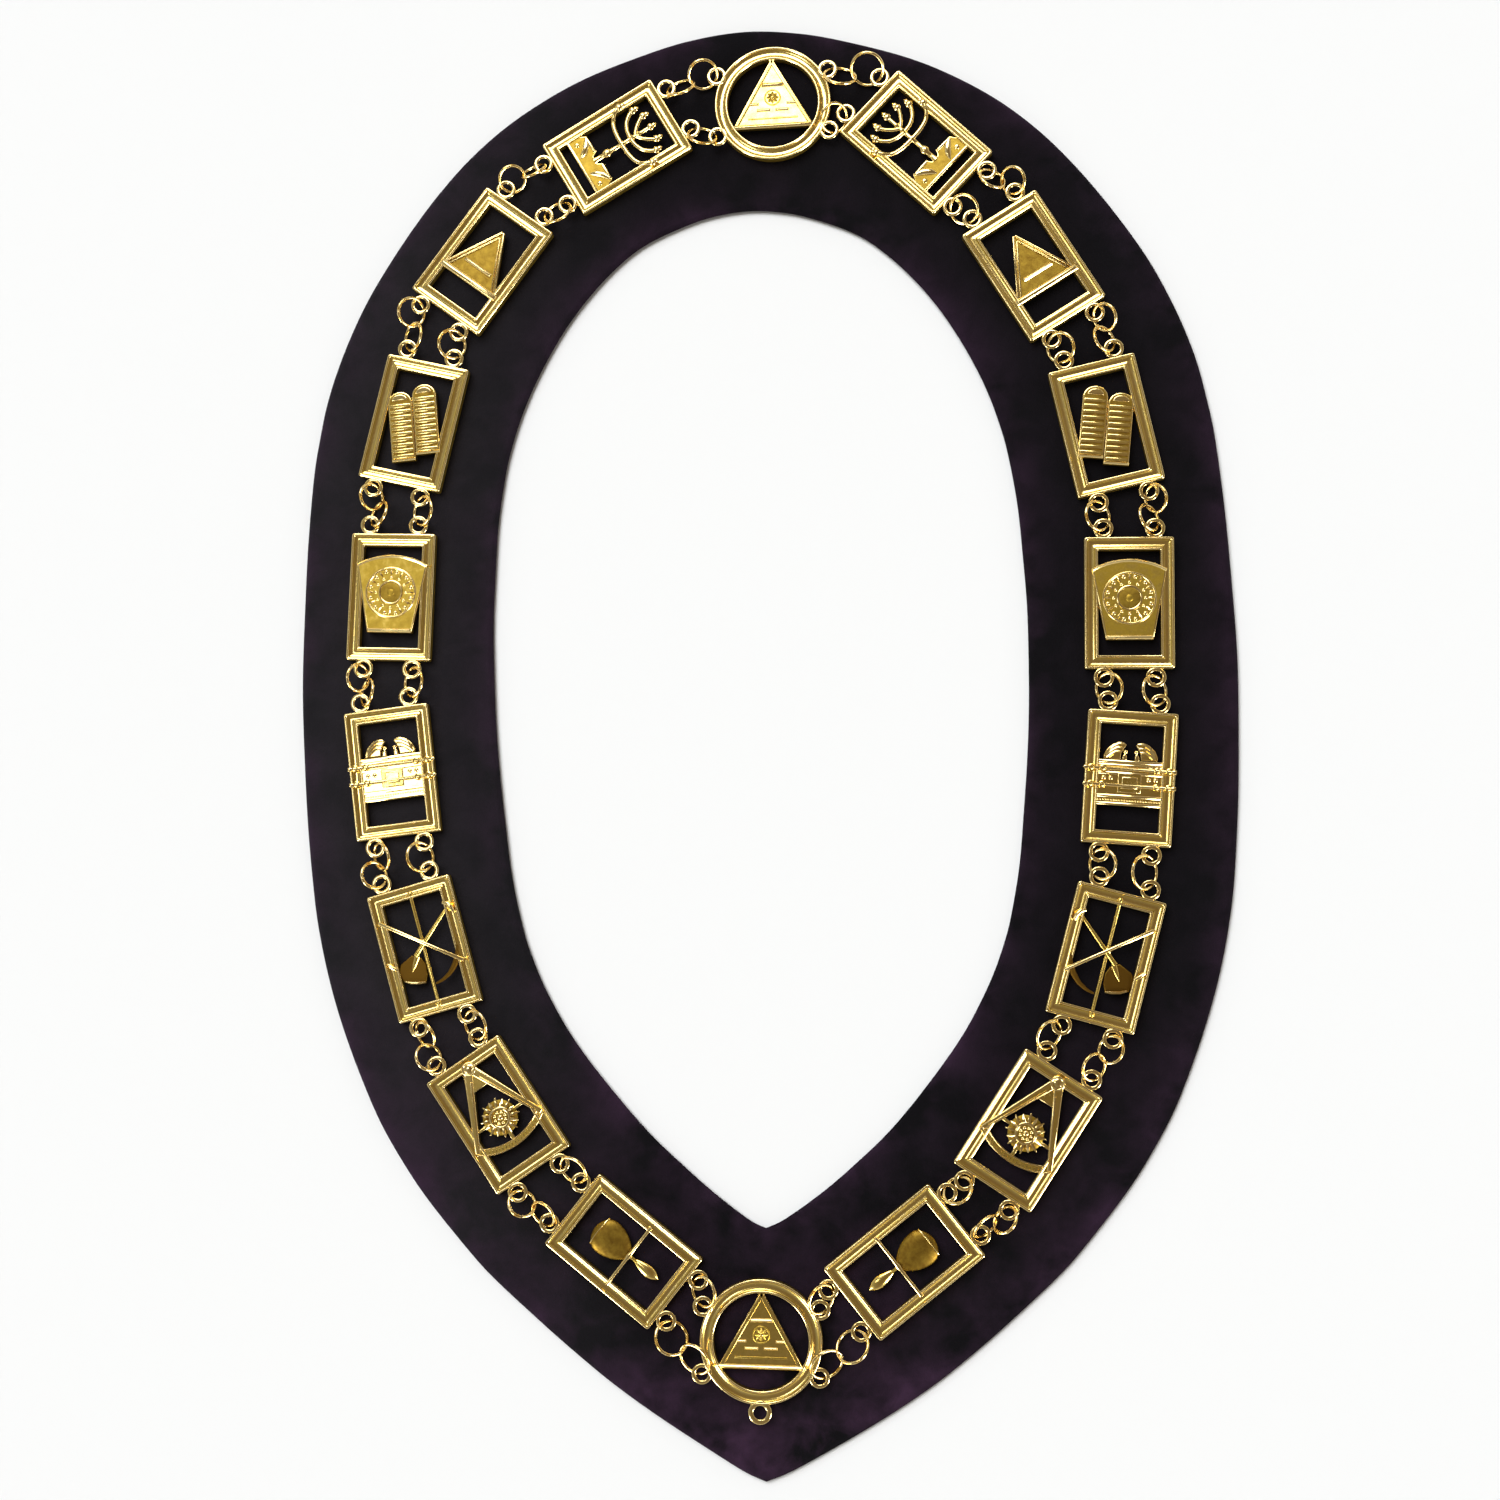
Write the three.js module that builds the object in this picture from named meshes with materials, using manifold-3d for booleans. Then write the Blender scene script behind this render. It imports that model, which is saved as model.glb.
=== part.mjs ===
// A chain of office: gilt cast plates and two round medallions, joined by
// jump rings, on a stiff velvet collar. Millimetres, +Z up. The collar lies
// flat with its underside on z = 0 and its centre on the Z axis; +Y is the
// nape and -Y is the point on the chest.
import * as THREE from 'three';
import { mergeVertices } from 'three/addons/utils/BufferGeometryUtils.js';
import Module from 'manifold-3d';

const wasm = await Module();
wasm.setup();

// ---- driving dimensions ----------------------------------------------------
const VELVET_THICK = 2.0;      // the velvet collar, faced and backed
const VELVET_EDGE = 0.5;       // rounding of its edges
const OUTER_POINTS = 64;       // points round the outer outline
const INNER_POINTS = 48;       // points round the neck opening

const PLATE_W = 30.0;          // plate width, across the chain
const PLATE_H = 45.0;          // plate height, along the chain
const BAND = 4.6;              // width of a plate's frame
const RIDGE = 0.85;            // width of the two raised lips of a frame
const RIDGE_HIGH = 0.45;       // how far the lips stand above the band
const METAL_BOTTOM = 2.4;      // underside of plates and medallions
const METAL_TOP = 5.4;         // top of their raised lips
const BAND_TOP = METAL_TOP - RIDGE_HIGH;
const EMBLEM_BOTTOM = 3.2;     // underside of the pierced emblems
const EMBLEM_TOP = 4.8;        // their plain face
const RELIEF_TOP = 5.25;       // their raised details

const MEDALLION_D = 41.0;      // medallion across its ring
const MEDALLION_BAND = 4.6;

const EYELET_R = 3.35;         // eyelet, outside
const EYELET_HOLE_R = 2.1;
const EYELET_Z = [4.45, 5.35];
const EYELET_X = 8.65;         // plate eyelets, from the centre line
const EYELET_Y = 25.45;        // and from the plate's middle
const MED_EYELET = [19.6, 11.0];
const LOOP_R = 4.0;            // hanging loop at the point of the chain
const LOOP_HOLE_R = 2.15;
const LOOP_Y = -22.9;

const WIRE_R = 0.5;            // jump ring wire
const RING_STEPS = 10;
const WIRE_STEPS = 4;

// half outlines of the velvet, [half width, y], from the point to the nape
const OUTER = [
  [0, -248.2], [10.2, -244.5], [34.0, -231.9], [53.7, -219.3], [69.5, -206.8],
  [83.7, -194.2], [97.1, -181.6], [107.8, -169.0], [117.7, -156.4],
  [126.1, -143.8], [133.4, -131.2], [139.0, -118.6], [143.9, -106.1],
  [148.2, -93.5], [151.7, -80.9], [154.4, -68.3], [156.4, -55.7],
  [158.8, -30.5], [160.1, -5.4], [160.8, 19.8], [160.0, 45.0],
  [158.8, 70.2], [156.6, 95.3], [154.5, 107.9], [151.9, 120.5],
  [147.9, 133.1], [142.8, 145.7], [136.6, 158.3], [128.9, 170.8],
  [120.2, 183.4], [110.3, 196.0], [98.4, 208.6], [82.6, 221.2],
  [59.9, 233.8], [34.0, 242.6], [18.1, 246.4], [0, 248.2],
];
const INNER = [
  [0, -166.5], [6.1, -163.9], [18.7, -155.1], [29.2, -146.2], [38.8, -137.4],
  [46.9, -128.5], [54.1, -119.7], [61.0, -110.8], [67.0, -102.0],
  [72.0, -93.1], [76.3, -84.3], [79.7, -75.4], [82.4, -66.6], [86.0, -48.9],
  [88.0, -31.2], [89.8, -13.5], [91.0, 4.2], [91.5, 21.9], [91.6, 39.6],
  [90.7, 57.3], [89.5, 75.0], [86.8, 92.7], [84.7, 101.5], [82.0, 110.4],
  [78.6, 119.2], [74.4, 128.1], [69.6, 136.9], [63.9, 145.8], [57.0, 154.6],
  [48.5, 163.5], [37.2, 172.3], [20.0, 179.4], [8.8, 181.9], [0, 182.6],
];

// the plates, from the nape down each side: [x, y, turn in degrees]
const LEFT = [
  [-46.1, 208.5, -60.8], [-94.9, 169.6, -37.8], [-120.1, 112.2, -14.3],
  [-128.6, 50.4, -3.0], [-128.5, -11.2, 5.8], [-117.5, -72.5, 14.7],
  [-92.3, -129.1, 33.0], [-49.9, -175.0, 50.4],
];
const RIGHT = [
  [59.3, 203.7, 45.2], [98.2, 157.2, 30.2], [120.8, 99.9, 11.2],
  [126.2, 38.6, -1.9], [123.9, -20.7, -5.6], [113.8, -80.3, -16.3],
  [86.1, -136.6, -34.2], [44.0, -179.2, -52.3],
];
const TOP_MEDALLION = [9.5, 220.9];
const BOTTOM_MEDALLION = [-4.2, -204.8, -2.0];

// jump rings: name, then for each ring its centre-line radius, its centre and
// the direction of its axis (polar angle and azimuth, radians)
const RINGS = [
  ['ring_pair_left_1_2_outer', [4.6, -75.83, 200.81, 6.41, 0.909, 1.990], [4.6, -83.54, 198.47, 5.83, 0.646, -0.966]],
  ['ring_left_1_2_inner', [5.0, -67.51, 185.45, 5.80, 0.648, 2.058]],
  ['ring_pair_left_2_3_outer', [5.0, -120.20, 151.66, 6.64, 0.744, -0.286], [5.0, -119.60, 142.84, 6.62, 0.748, 3.023]],
  ['ring_left_2_3_inner', [5.0, -105.91, 139.62, 5.82, 0.651, -0.172]],
  ['ring_pair_left_3_4_outer', [4.6, -135.00, 85.94, 6.30, 0.871, 0.076], [4.6, -132.44, 79.88, 6.09, 0.799, 2.698]],
  ['ring_left_3_4_inner', [5.0, -116.74, 80.28, 5.93, 0.681, 3.079]],
  ['ring_pair_left_4_5_outer', [4.6, -139.95, 21.92, 6.60, 0.945, -0.049], [4.6, -136.66, 16.65, 6.89, 0.892, 2.944]],
  ['ring_left_4_5_inner', [5.0, -120.42, 19.88, 6.01, 0.701, 3.067]],
  ['ring_pair_left_5_6_outer', [4.6, -131.88, -40.62, 6.48, 0.775, -2.866], [4.6, -134.62, -46.93, 6.18, 0.744, 0.344]],
  ['ring_left_5_6_inner', [5.0, -118.34, -40.98, 6.23, 0.763, 0.168]],
  ['ring_pair_left_6_7_outer', [4.6, -116.87, -101.79, 6.18, 0.769, -2.578], [4.6, -115.89, -109.44, 6.03, 0.786, 0.510]],
  ['ring_left_6_7_inner', [5.0, -99.61, -98.79, 5.74, 0.633, -2.738]],
  ['ring_pair_left_7_8_outer', [4.6, -84.07, -158.77, 6.05, 0.665, 0.798], [4.6, -76.89, -162.37, 5.77, 0.707, -2.392]],
  ['ring_left_7_8_inner', [5.0, -66.38, -147.84, 5.98, 0.691, -2.301]],
  ['ring_right_1_2_inner', [5.0, 75.09, 178.14, 5.75, 0.637, -2.185]],
  ['ring_pair_right_1_2_outer', [4.6, 85.22, 188.29, 6.29, 0.707, 0.891], [4.6, 92.22, 187.24, 6.35, 0.724, -2.545]],
  ['ring_right_2_3_inner', [5.0, 106.39, 127.51, 5.66, 0.613, -2.675]],
  ['ring_pair_right_2_3_outer', [4.6, 121.57, 137.11, 6.56, 0.830, -2.634], [4.6, 121.17, 129.66, 6.38, 0.743, 0.335]],
  ['ring_right_3_4_inner', [5.0, 116.72, 68.57, 5.66, 0.615, 0.134]],
  ['ring_pair_right_3_4_outer', [4.6, 136.24, 73.55, 6.24, 0.839, -2.928], [4.6, 133.73, 67.16, 6.26, 0.812, 0.310]],
  ['ring_right_4_5_inner', [5.0, 118.22, 9.61, 5.75, 0.635, -3.008]],
  ['ring_right_4_5_outer', [5.0, 133.21, 8.28, 5.78, 0.631, 0.096]],
  ['ring_right_5_6_inner', [5.0, 113.80, -49.33, 5.75, 0.628, 3.120]],
  ['ring_right_5_6_outer', [5.6, 127.41, -52.43, 6.36, 0.707, -0.068]],
  ['ring_right_6_7_inner', [5.0, 94.05, -105.43, 6.40, 0.775, -0.547]],
  ['ring_pair_right_6_7_outer', [4.6, 114.17, -110.61, 5.73, 0.658, 2.683], [4.6, 108.41, -116.28, 5.66, 0.677, -0.468]],
  ['ring_right_7_8_inner', [5.0, 62.35, -155.73, 6.46, 0.775, 2.161]],
  ['ring_pair_right_7_8_outer', [4.6, 77.57, -165.50, 6.67, 0.879, 2.468], [4.6, 71.25, -167.43, 6.68, 1.013, -0.810]],
  ['ring_pair_top_left_outer', [5.0, -14.75, 232.34, 6.23, 0.694, -1.303], [5.0, -22.72, 228.10, 6.31, 0.771, 1.877]],
  ['ring_top_left_inner', [5.0, -15.47, 210.01, 6.03, 0.709, 1.222]],
  ['ring_pair_top_right_outer', [5.6, 33.59, 228.51, 6.44, 0.707, 1.312], [5.6, 43.10, 230.51, 6.36, 0.674, -1.779]],
  ['ring_top_right_inner', [5.0, 30.97, 213.60, 6.08, 0.709, -0.795]],
  ['ring_pair_bottom_left_outer', [5.6, -26.32, -210.08, 6.18, 0.656, -2.413], [5.6, -33.99, -203.21, 6.05, 0.629, 0.656]],
  ['ring_bottom_left_inner', [5.0, -22.92, -188.25, 5.85, 0.644, -2.939]],
  ['ring_pair_bottom_right_outer', [5.6, 17.56, -211.81, 6.35, 0.688, -0.849], [5.6, 26.19, -206.09, 6.27, 0.661, 2.193]],
  ['ring_bottom_right_inner', [5.0, 16.32, -190.85, 6.28, 0.774, -0.391]],
];

// ---- small geometry helpers ------------------------------------------------
const gold = () => new THREE.MeshStandardMaterial({ color: 0xc8a24a, roughness: 0.28, metalness: 1.0 });
const velvetCloth = () => new THREE.MeshStandardMaterial({ color: 0x1c1620, roughness: 0.95, metalness: 0.0 });

function solidOf(geometry) {
  const g = geometry.index ? geometry.clone() : geometry;
  for (const name of ['normal', 'uv']) g.deleteAttribute(name);
  const m = mergeVertices(g, 1e-4);
  return new wasm.Manifold(new wasm.Mesh({
    numProp: 3,
    vertProperties: new Float32Array(m.attributes.position.array),
    triVerts: new Uint32Array(m.index.array),
  }));
}

function geometryOf(solid) {
  const m = solid.getMesh();
  const g = new THREE.BufferGeometry();
  g.setAttribute('position', new THREE.BufferAttribute(new Float32Array(m.vertProperties), 3));
  g.setIndex(new THREE.BufferAttribute(new Uint32Array(m.triVerts), 1));
  g.computeVertexNormals();
  return g;
}

const union = (list) => list.reduce((a, b) => a.add(b)).asOriginal().simplify(0.01);

function shapeOf(points) {
  return new THREE.Shape(points.map(([x, y]) => new THREE.Vector2(x, y)));
}

// an upright prism of a polygon, with holes, from z0 to z1
function prism(points, z0, z1, holes = []) {
  const s = shapeOf(points);
  for (const h of holes) s.holes.push(new THREE.Path(h.map(([x, y]) => new THREE.Vector2(x, y))));
  const g = new THREE.ExtrudeGeometry(s, { depth: z1 - z0, bevelEnabled: false, steps: 1 });
  g.translate(0, 0, z0);
  return solidOf(g);
}

const rect = (x0, y0, x1, y1) => [[x0, y0], [x1, y0], [x1, y1], [x0, y1]];
const around = (x, y, r, n, turn = 0) =>
  Array.from({ length: n }, (_, i) => {
    const a = turn + (2 * Math.PI * i) / n;
    return [x + r * Math.cos(a), y + r * Math.sin(a)];
  });

// a straight bar of width w from one point to another
function bar(ax, ay, bx, by, w, w2 = w) {
  const l = Math.hypot(bx - ax, by - ay);
  const nx = -(by - ay) / l / 2, ny = (bx - ax) / l / 2;
  return [[ax + nx * w, ay + ny * w], [ax - nx * w, ay - ny * w],
    [bx - nx * w2, by - ny * w2], [bx + nx * w2, by + ny * w2]];
}

// a band of width w along an arc
function arc(cx, cy, r, a0, a1, n, w) {
  const p = [];
  for (let i = 0; i <= n; i++) {
    const a = a0 + ((a1 - a0) * i) / n;
    p.push([cx + (r + w / 2) * Math.cos(a), cy + (r + w / 2) * Math.sin(a)]);
  }
  for (let i = n; i >= 0; i--) {
    const a = a0 + ((a1 - a0) * i) / n;
    p.push([cx + (r - w / 2) * Math.cos(a), cy + (r - w / 2) * Math.sin(a)]);
  }
  return a1 > a0 ? p.reverse() : p;
}

function turned(points, degrees, dx = 0, dy = 0) {
  const a = (degrees * Math.PI) / 180, c = Math.cos(a), s = Math.sin(a);
  return points.map(([x, y]) => [x * c - y * s + dx, x * s + y * c + dy]);
}

const mirrored = (points) => points.map(([x, y]) => [-x, y]).reverse();

// ---- velvet collar ---------------------------------------------------------
function outlineRing(half, count) {
  const pts = [
    ...half.map(([x, y]) => new THREE.Vector2(x, y)),
    ...half.slice(0, -1).reverse().map(([x, y]) => new THREE.Vector2(-x, y)),
  ];
  const curve = new THREE.SplineCurve(pts);
  curve.arcLengthDivisions = 2000;
  return curve.getSpacedPoints(count).slice(0, -1);
}

function velvetCollar() {
  const s = new THREE.Shape(outlineRing(OUTER, OUTER_POINTS));
  s.holes.push(new THREE.Path(outlineRing(INNER, INNER_POINTS)));
  const g = new THREE.ExtrudeGeometry(s, {
    depth: VELVET_THICK - 2 * VELVET_EDGE, bevelEnabled: true, bevelSegments: 1,
    bevelThickness: VELVET_EDGE, bevelSize: VELVET_EDGE, bevelOffset: -VELVET_EDGE, steps: 1,
  });
  g.translate(0, 0, VELVET_EDGE);
  return geometryOf(solidOf(g));
}

// ---- frames and eyelets ----------------------------------------------------
function eyelet(x, y, r = EYELET_R, hole = EYELET_HOLE_R) {
  const n = 8;
  return prism(around(x, y, r, n, Math.PI / n), EYELET_Z[0], EYELET_Z[1],
    [around(x, y, hole / Math.cos(Math.PI / n), n, Math.PI / n)]);
}

function frame() {
  const w = PLATE_W / 2, h = PLATE_H / 2;
  const box = (inset) => rect(-w + inset, -h + inset, w - inset, h - inset);
  const list = [
    prism(box(0), METAL_BOTTOM, BAND_TOP, [box(BAND)]),
    prism(box(0), BAND_TOP - 0.3, METAL_TOP, [box(RIDGE)]),
    prism(box(BAND - RIDGE), BAND_TOP - 0.3, METAL_TOP, [box(BAND)]),
  ];
  for (const sx of [-1, 1]) for (const sy of [-1, 1]) list.push(eyelet(sx * EYELET_X, sy * EYELET_Y));
  return list;
}

// ---- emblems, drawn for the left side; the right side mirrors them ----------
const IN_X = PLATE_W / 2 - BAND, IN_Y = PLATE_H / 2 - BAND;   // 10.4, 17.9
const LAP = 0.8;                                              // into the frame
const flat = (p) => ['flat', p];
const raised = (p) => ['raised', p];

const EMBLEMS = {
  candlestick() {
    const out = [];
    for (const r of [3.1, 6.2, 9.3]) out.push(flat(arc(0, 9.2, r, Math.PI, 2 * Math.PI, r > 6.5 ? 8 : 6, 1.5)));
    out.push(flat(bar(0, -13.5, 0, 12.5, 1.7)));
    for (const x of [-9.4, -6.2, -3.1, 0, 3.1, 6.2, 9.4]) out.push(raised(around(x, x === 0 ? 13.2 : 10.1, 1.4, 4)));
    out.push(flat([[-10.9, -18.6], [10.9, -18.6], [8.6, -14.6], [-8.6, -14.6]]));
    out.push(raised([[-6.2, -15.4], [6.2, -15.4], [4.6, -12.4], [-4.6, -12.4]]));
    out.push(raised([[-3.0, -13.0], [3.0, -13.0], [1.3, -8.8], [-1.3, -8.8]]));
    return out;
  },
  triangle() {
    return [
      flat([[-10.8, -9.0], [10.8, -9.0], [0, 12.4]]),
      raised(rect(-IN_X - LAP, -9.9, IN_X + LAP, -7.7)),
      raised(bar(-9.6, -8.4, 0, 11.2, 1.5)), raised(bar(0, 11.2, 9.6, -8.4, 1.5)),
      raised(rect(-5.2, -3.6, 5.2, -2.0)),
    ];
  },
  tablets() {
    const one = (cx, cy) => {
      const p = [[-4.35, -12.4], [4.35, -12.4], [4.35, 8.0]];
      for (let i = 1; i < 6; i++) p.push([4.35 * Math.cos((i * Math.PI) / 6), 8.0 + 4.35 * Math.sin((i * Math.PI) / 6)]);
      p.push([-4.35, 8.0]);
      return turned(p.map(([x, y]) => [x + cx, y + cy]), 19);
    };
    return [flat(one(-4.3, -0.7)), raised(one(4.3, 0.8))];
  },
  keystone() {
    const p = [[-7.85, -12.5], [7.85, -12.5], [12.5, 11.6], [8.6, 13.4], [4.4, 14.6], [0, 15.0], [-4.4, 14.6], [-8.6, 13.4], [-12.5, 11.6]];
    const q = around(0, 0.4, 8.0, 12), inner = around(0, 0.4, 4.1, 8);
    return [flat(p), ['ring', q, inner], raised(bar(-8.1, -11.4, 8.1, -11.4, 1.6))];
  },
  chest() {
    const wing = [[0.9, 2.0], [10.9, 2.0], [10.9, 5.4], [8.8, 8.6], [5.9, 10.6], [2.9, 11.6], [1.6, 10.4], [3.1, 8.4], [2.4, 5.6]];
    const out = [flat(rect(-IN_X - LAP, -8.6, IN_X + LAP, 2.9)), flat(wing), flat(mirrored(wing)),
      raised(rect(-IN_X - LAP, 1.2, IN_X + LAP, 2.7)), raised(rect(-12.6, -5.2, 12.6, -3.5)),
      raised(rect(-IN_X - LAP, -8.9, IN_X + LAP, -7.6)), raised(around(0, 4.1, 1.8, 6))];
    for (let i = 0; i < 6; i++) out.push(flat(rect(-9.6 + i * 3.4, -9.7, -7.8 + i * 3.4, -8.2)));
    return out;
  },
  tools() {
    return [
      flat(bar(0, -IN_Y - LAP, 0, IN_Y + LAP, 1.9)),
      raised(bar(-10.9, 16.6, 10.2, -15.0, 1.4)),
      flat(bar(10.9, 16.2, -7.6, -10.6, 1.7)),
      flat([[-4.9, -10.2], [-8.6, -7.4], [-10.9, -12.6], [-10.9, -16.2], [-8.4, -15.6]]),
      flat(arc(3.4, -8.4, 8.0, -0.78, -0.05, 5, 1.7)),
    ];
  },
  dividers() {
    const ray = around(0, -1, 5.8, 10), inner = around(0, -1, 3.4, 8);
    return [
      flat(bar(0.4, 18.6, -13.0, -8.4, 2.6, 2.0)), flat(bar(-0.4, 18.6, 13.0, -8.4, 2.6, 2.0)),
      flat(arc(0, 3.9, 16.6, (-140 * Math.PI) / 180, (-40 * Math.PI) / 180, 8, 2.3)),
      flat(ray), ['ring', ray, inner], flat(bar(-9.2, -1, 9.2, -1, 1.4)), flat(bar(0, -7, 0, -12.4, 1.5)),
      raised(around(0, 17.4, 2.3, 6)),
    ];
  },
  vessel() {
    const half = [[1.3, -1.2], [1.5, 0.6], [3.3, 1.8], [5.0, 4.4], [5.5, 7.6], [4.6, 10.4], [3.4, 11.6], [4.0, 13.2]];
    const pot = [...half, ...half.map(([x, y]) => [-x, y]).reverse()];
    return [
      raised(rect(-IN_X - LAP, -1.9, IN_X + LAP, -0.3)), flat(pot), raised(bar(-4.0, 11.9, 4.0, 11.9, 1.2)),
      flat(bar(0, -0.8, 0, -6.5, 1.3)), flat(turned(around(0, 0, 1, 8).map(([x, y]) => [x * 1.9, y * 4.6]), 0, 0, -9.6)),
    ];
  },
};

function emblemSolids(name, mirror) {
  return EMBLEMS[name]().map(([kind, pts, hole]) => {
    const p = mirror ? mirrored(pts) : pts;
    if (kind === 'ring') return prism(p, EMBLEM_TOP - 0.3, RELIEF_TOP, [mirror ? mirrored(hole) : hole]);
    return prism(p, EMBLEM_BOTTOM, kind === 'raised' ? RELIEF_TOP : EMBLEM_TOP);
  });
}

function plateGeometry(name, mirror) {
  return geometryOf(union([...frame(), ...emblemSolids(name, mirror)]));
}

// ---- medallions ------------------------------------------------------------
function medallionGeometry(withLoop) {
  const R = MEDALLION_D / 2, n = 20;
  const ringBand = (r0, r1, z0, z1) => prism(around(0, 0, r1, n), z0, z1, [around(0, 0, r0, n)]);
  const list = [
    ringBand(R - MEDALLION_BAND, R, METAL_BOTTOM, BAND_TOP),
    ringBand(R - RIDGE, R, BAND_TOP - 0.3, METAL_TOP),
    ringBand(R - MEDALLION_BAND, R - MEDALLION_BAND + RIDGE, BAND_TOP - 0.3, METAL_TOP),
    prism([[-14.6, -9.2], [14.6, -9.2], [0, 16.8]], EMBLEM_BOTTOM, EMBLEM_TOP),
    prism([[-14.6, -9.2], [14.6, -9.2], [0, 16.8]], EMBLEM_TOP - 0.3, RELIEF_TOP, [[[-10.6, -6.9], [10.6, -6.9], [0, 12.0]]]),
    prism(around(0, -1.6, 3.6, 10), EMBLEM_TOP - 0.3, RELIEF_TOP),
  ];
  for (const sx of [-1, 1]) for (const sy of [-1, 1]) list.push(eyelet(sx * MED_EYELET[0], sy * MED_EYELET[1]));
  if (withLoop) list.push(eyelet(0, LOOP_Y, LOOP_R, LOOP_HOLE_R));
  return geometryOf(union(list));
}

// ---- jump rings ------------------------------------------------------------
function ringSolid([radius, x, y, z, polar, azimuth]) {
  // the many-sided ring follows the round one evenly on both sides
  const r = (radius * 2) / (1 + Math.cos(Math.PI / RING_STEPS));
  const g = new THREE.TorusGeometry(r, WIRE_R, WIRE_STEPS, RING_STEPS);
  const axis = new THREE.Vector3(Math.sin(polar) * Math.cos(azimuth), Math.sin(polar) * Math.sin(azimuth), Math.cos(polar));
  g.applyQuaternion(new THREE.Quaternion().setFromUnitVectors(new THREE.Vector3(0, 0, 1), axis));
  g.translate(x, y, z);
  return solidOf(g);
}

// two linked rings touch at one place, where they are one solid
function touchSolid(rings) {
  const at = ([radius, x, y, z, polar, azimuth]) => {
    const axis = new THREE.Vector3(Math.sin(polar) * Math.cos(azimuth), Math.sin(polar) * Math.sin(azimuth), Math.cos(polar));
    const q = new THREE.Quaternion().setFromUnitVectors(new THREE.Vector3(0, 0, 1), axis);
    return Array.from({ length: 180 }, (_, i) => {
      const a = (i * Math.PI) / 90;
      return new THREE.Vector3(radius * Math.cos(a), radius * Math.sin(a), 0).applyQuaternion(q).add(new THREE.Vector3(x, y, z));
    });
  };
  let best = [Infinity];
  for (const a of at(rings[0])) for (const b of at(rings[1])) {
    const d = a.distanceTo(b);
    if (d < best[0]) best = [d, a.clone().add(b).multiplyScalar(0.5)];
  }
  const g = new THREE.IcosahedronGeometry(WIRE_R * 1.25, 0);
  g.translate(best[1].x, best[1].y, best[1].z);
  return solidOf(g);
}

// ---- the whole chain of office ---------------------------------------------
const chain = new THREE.Group();

function put(name, geometry, material, x = 0, y = 0, degrees = 0) {
  const holder = new THREE.Group();
  holder.position.set(x, y, 0);
  holder.rotation.z = (degrees * Math.PI) / 180;
  const mesh = new THREE.Mesh(geometry, material);
  mesh.name = name;
  holder.add(mesh);
  chain.add(holder);
}

put('velvet_collar', velvetCollar(), velvetCloth());
put('medallion_nape', medallionGeometry(false), gold(), ...TOP_MEDALLION);
put('medallion_front', medallionGeometry(true), gold(), ...BOTTOM_MEDALLION);
const ORDER = ['candlestick', 'triangle', 'tablets', 'keystone', 'chest', 'tools', 'dividers', 'vessel'];
ORDER.forEach((emblem, i) => {
  put(`plate_left_${i + 1}_${emblem}`, plateGeometry(emblem, false), gold(), ...LEFT[i]);
  put(`plate_right_${i + 1}_${emblem}`, plateGeometry(emblem, true), gold(), ...RIGHT[i]);
});
for (const [name, ...rings] of RINGS) {
  const solids = rings.map(ringSolid);
  if (rings.length > 1) solids.push(touchSolid(rings));
  put(name, geometryOf(union(solids)), gold());
}

export default chain;
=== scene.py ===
import math

import bmesh
import bpy
import numpy as np
from mathutils import Matrix, Vector


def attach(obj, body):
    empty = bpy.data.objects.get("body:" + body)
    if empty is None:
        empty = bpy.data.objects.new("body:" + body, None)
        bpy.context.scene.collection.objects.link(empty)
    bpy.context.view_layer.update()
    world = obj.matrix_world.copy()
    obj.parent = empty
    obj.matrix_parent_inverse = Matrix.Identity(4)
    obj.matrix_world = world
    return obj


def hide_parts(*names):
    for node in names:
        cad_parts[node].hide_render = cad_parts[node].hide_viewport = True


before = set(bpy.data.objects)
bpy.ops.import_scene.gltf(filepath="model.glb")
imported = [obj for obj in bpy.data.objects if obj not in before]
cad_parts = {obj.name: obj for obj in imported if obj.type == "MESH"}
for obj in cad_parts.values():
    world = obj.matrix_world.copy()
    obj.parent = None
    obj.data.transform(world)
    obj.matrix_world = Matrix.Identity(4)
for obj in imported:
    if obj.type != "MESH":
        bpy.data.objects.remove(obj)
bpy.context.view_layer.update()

rng = np.random.default_rng(7)
MM = 0.001

# ---------------------------------------------------------------- dimensions
PLATE_W, PLATE_H, BAND = 30.0, 45.0, 4.6
BOTTOM, TOP = 2.4, 5.4
EYE_R, EYE_HOLE, EYE_Z = 3.45, 2.12, 4.9
EYE_X, EYE_Y = 8.65, 25.45
MED_R = 20.5
MED_EYE = (19.6, 11.0)
LOOP_Y = -22.9
WIRE = 0.56

OUTER = [
    (0, -248.2), (10.2, -244.5), (34.0, -231.9), (53.7, -219.3), (69.5, -206.8),
    (83.7, -194.2), (97.1, -181.6), (107.8, -169.0), (117.7, -156.4),
    (126.1, -143.8), (133.4, -131.2), (139.0, -118.6), (143.9, -106.1),
    (148.2, -93.5), (151.7, -80.9), (154.4, -68.3), (156.4, -55.7),
    (158.8, -30.5), (160.1, -5.4), (160.8, 19.8), (160.0, 45.0),
    (158.8, 70.2), (156.6, 95.3), (154.5, 107.9), (151.9, 120.5),
    (147.9, 133.1), (142.8, 145.7), (136.6, 158.3), (128.9, 170.8),
    (120.2, 183.4), (110.3, 196.0), (98.4, 208.6), (82.6, 221.2),
    (59.9, 233.8), (34.0, 242.6), (18.1, 246.4), (0, 248.2),
]
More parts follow.
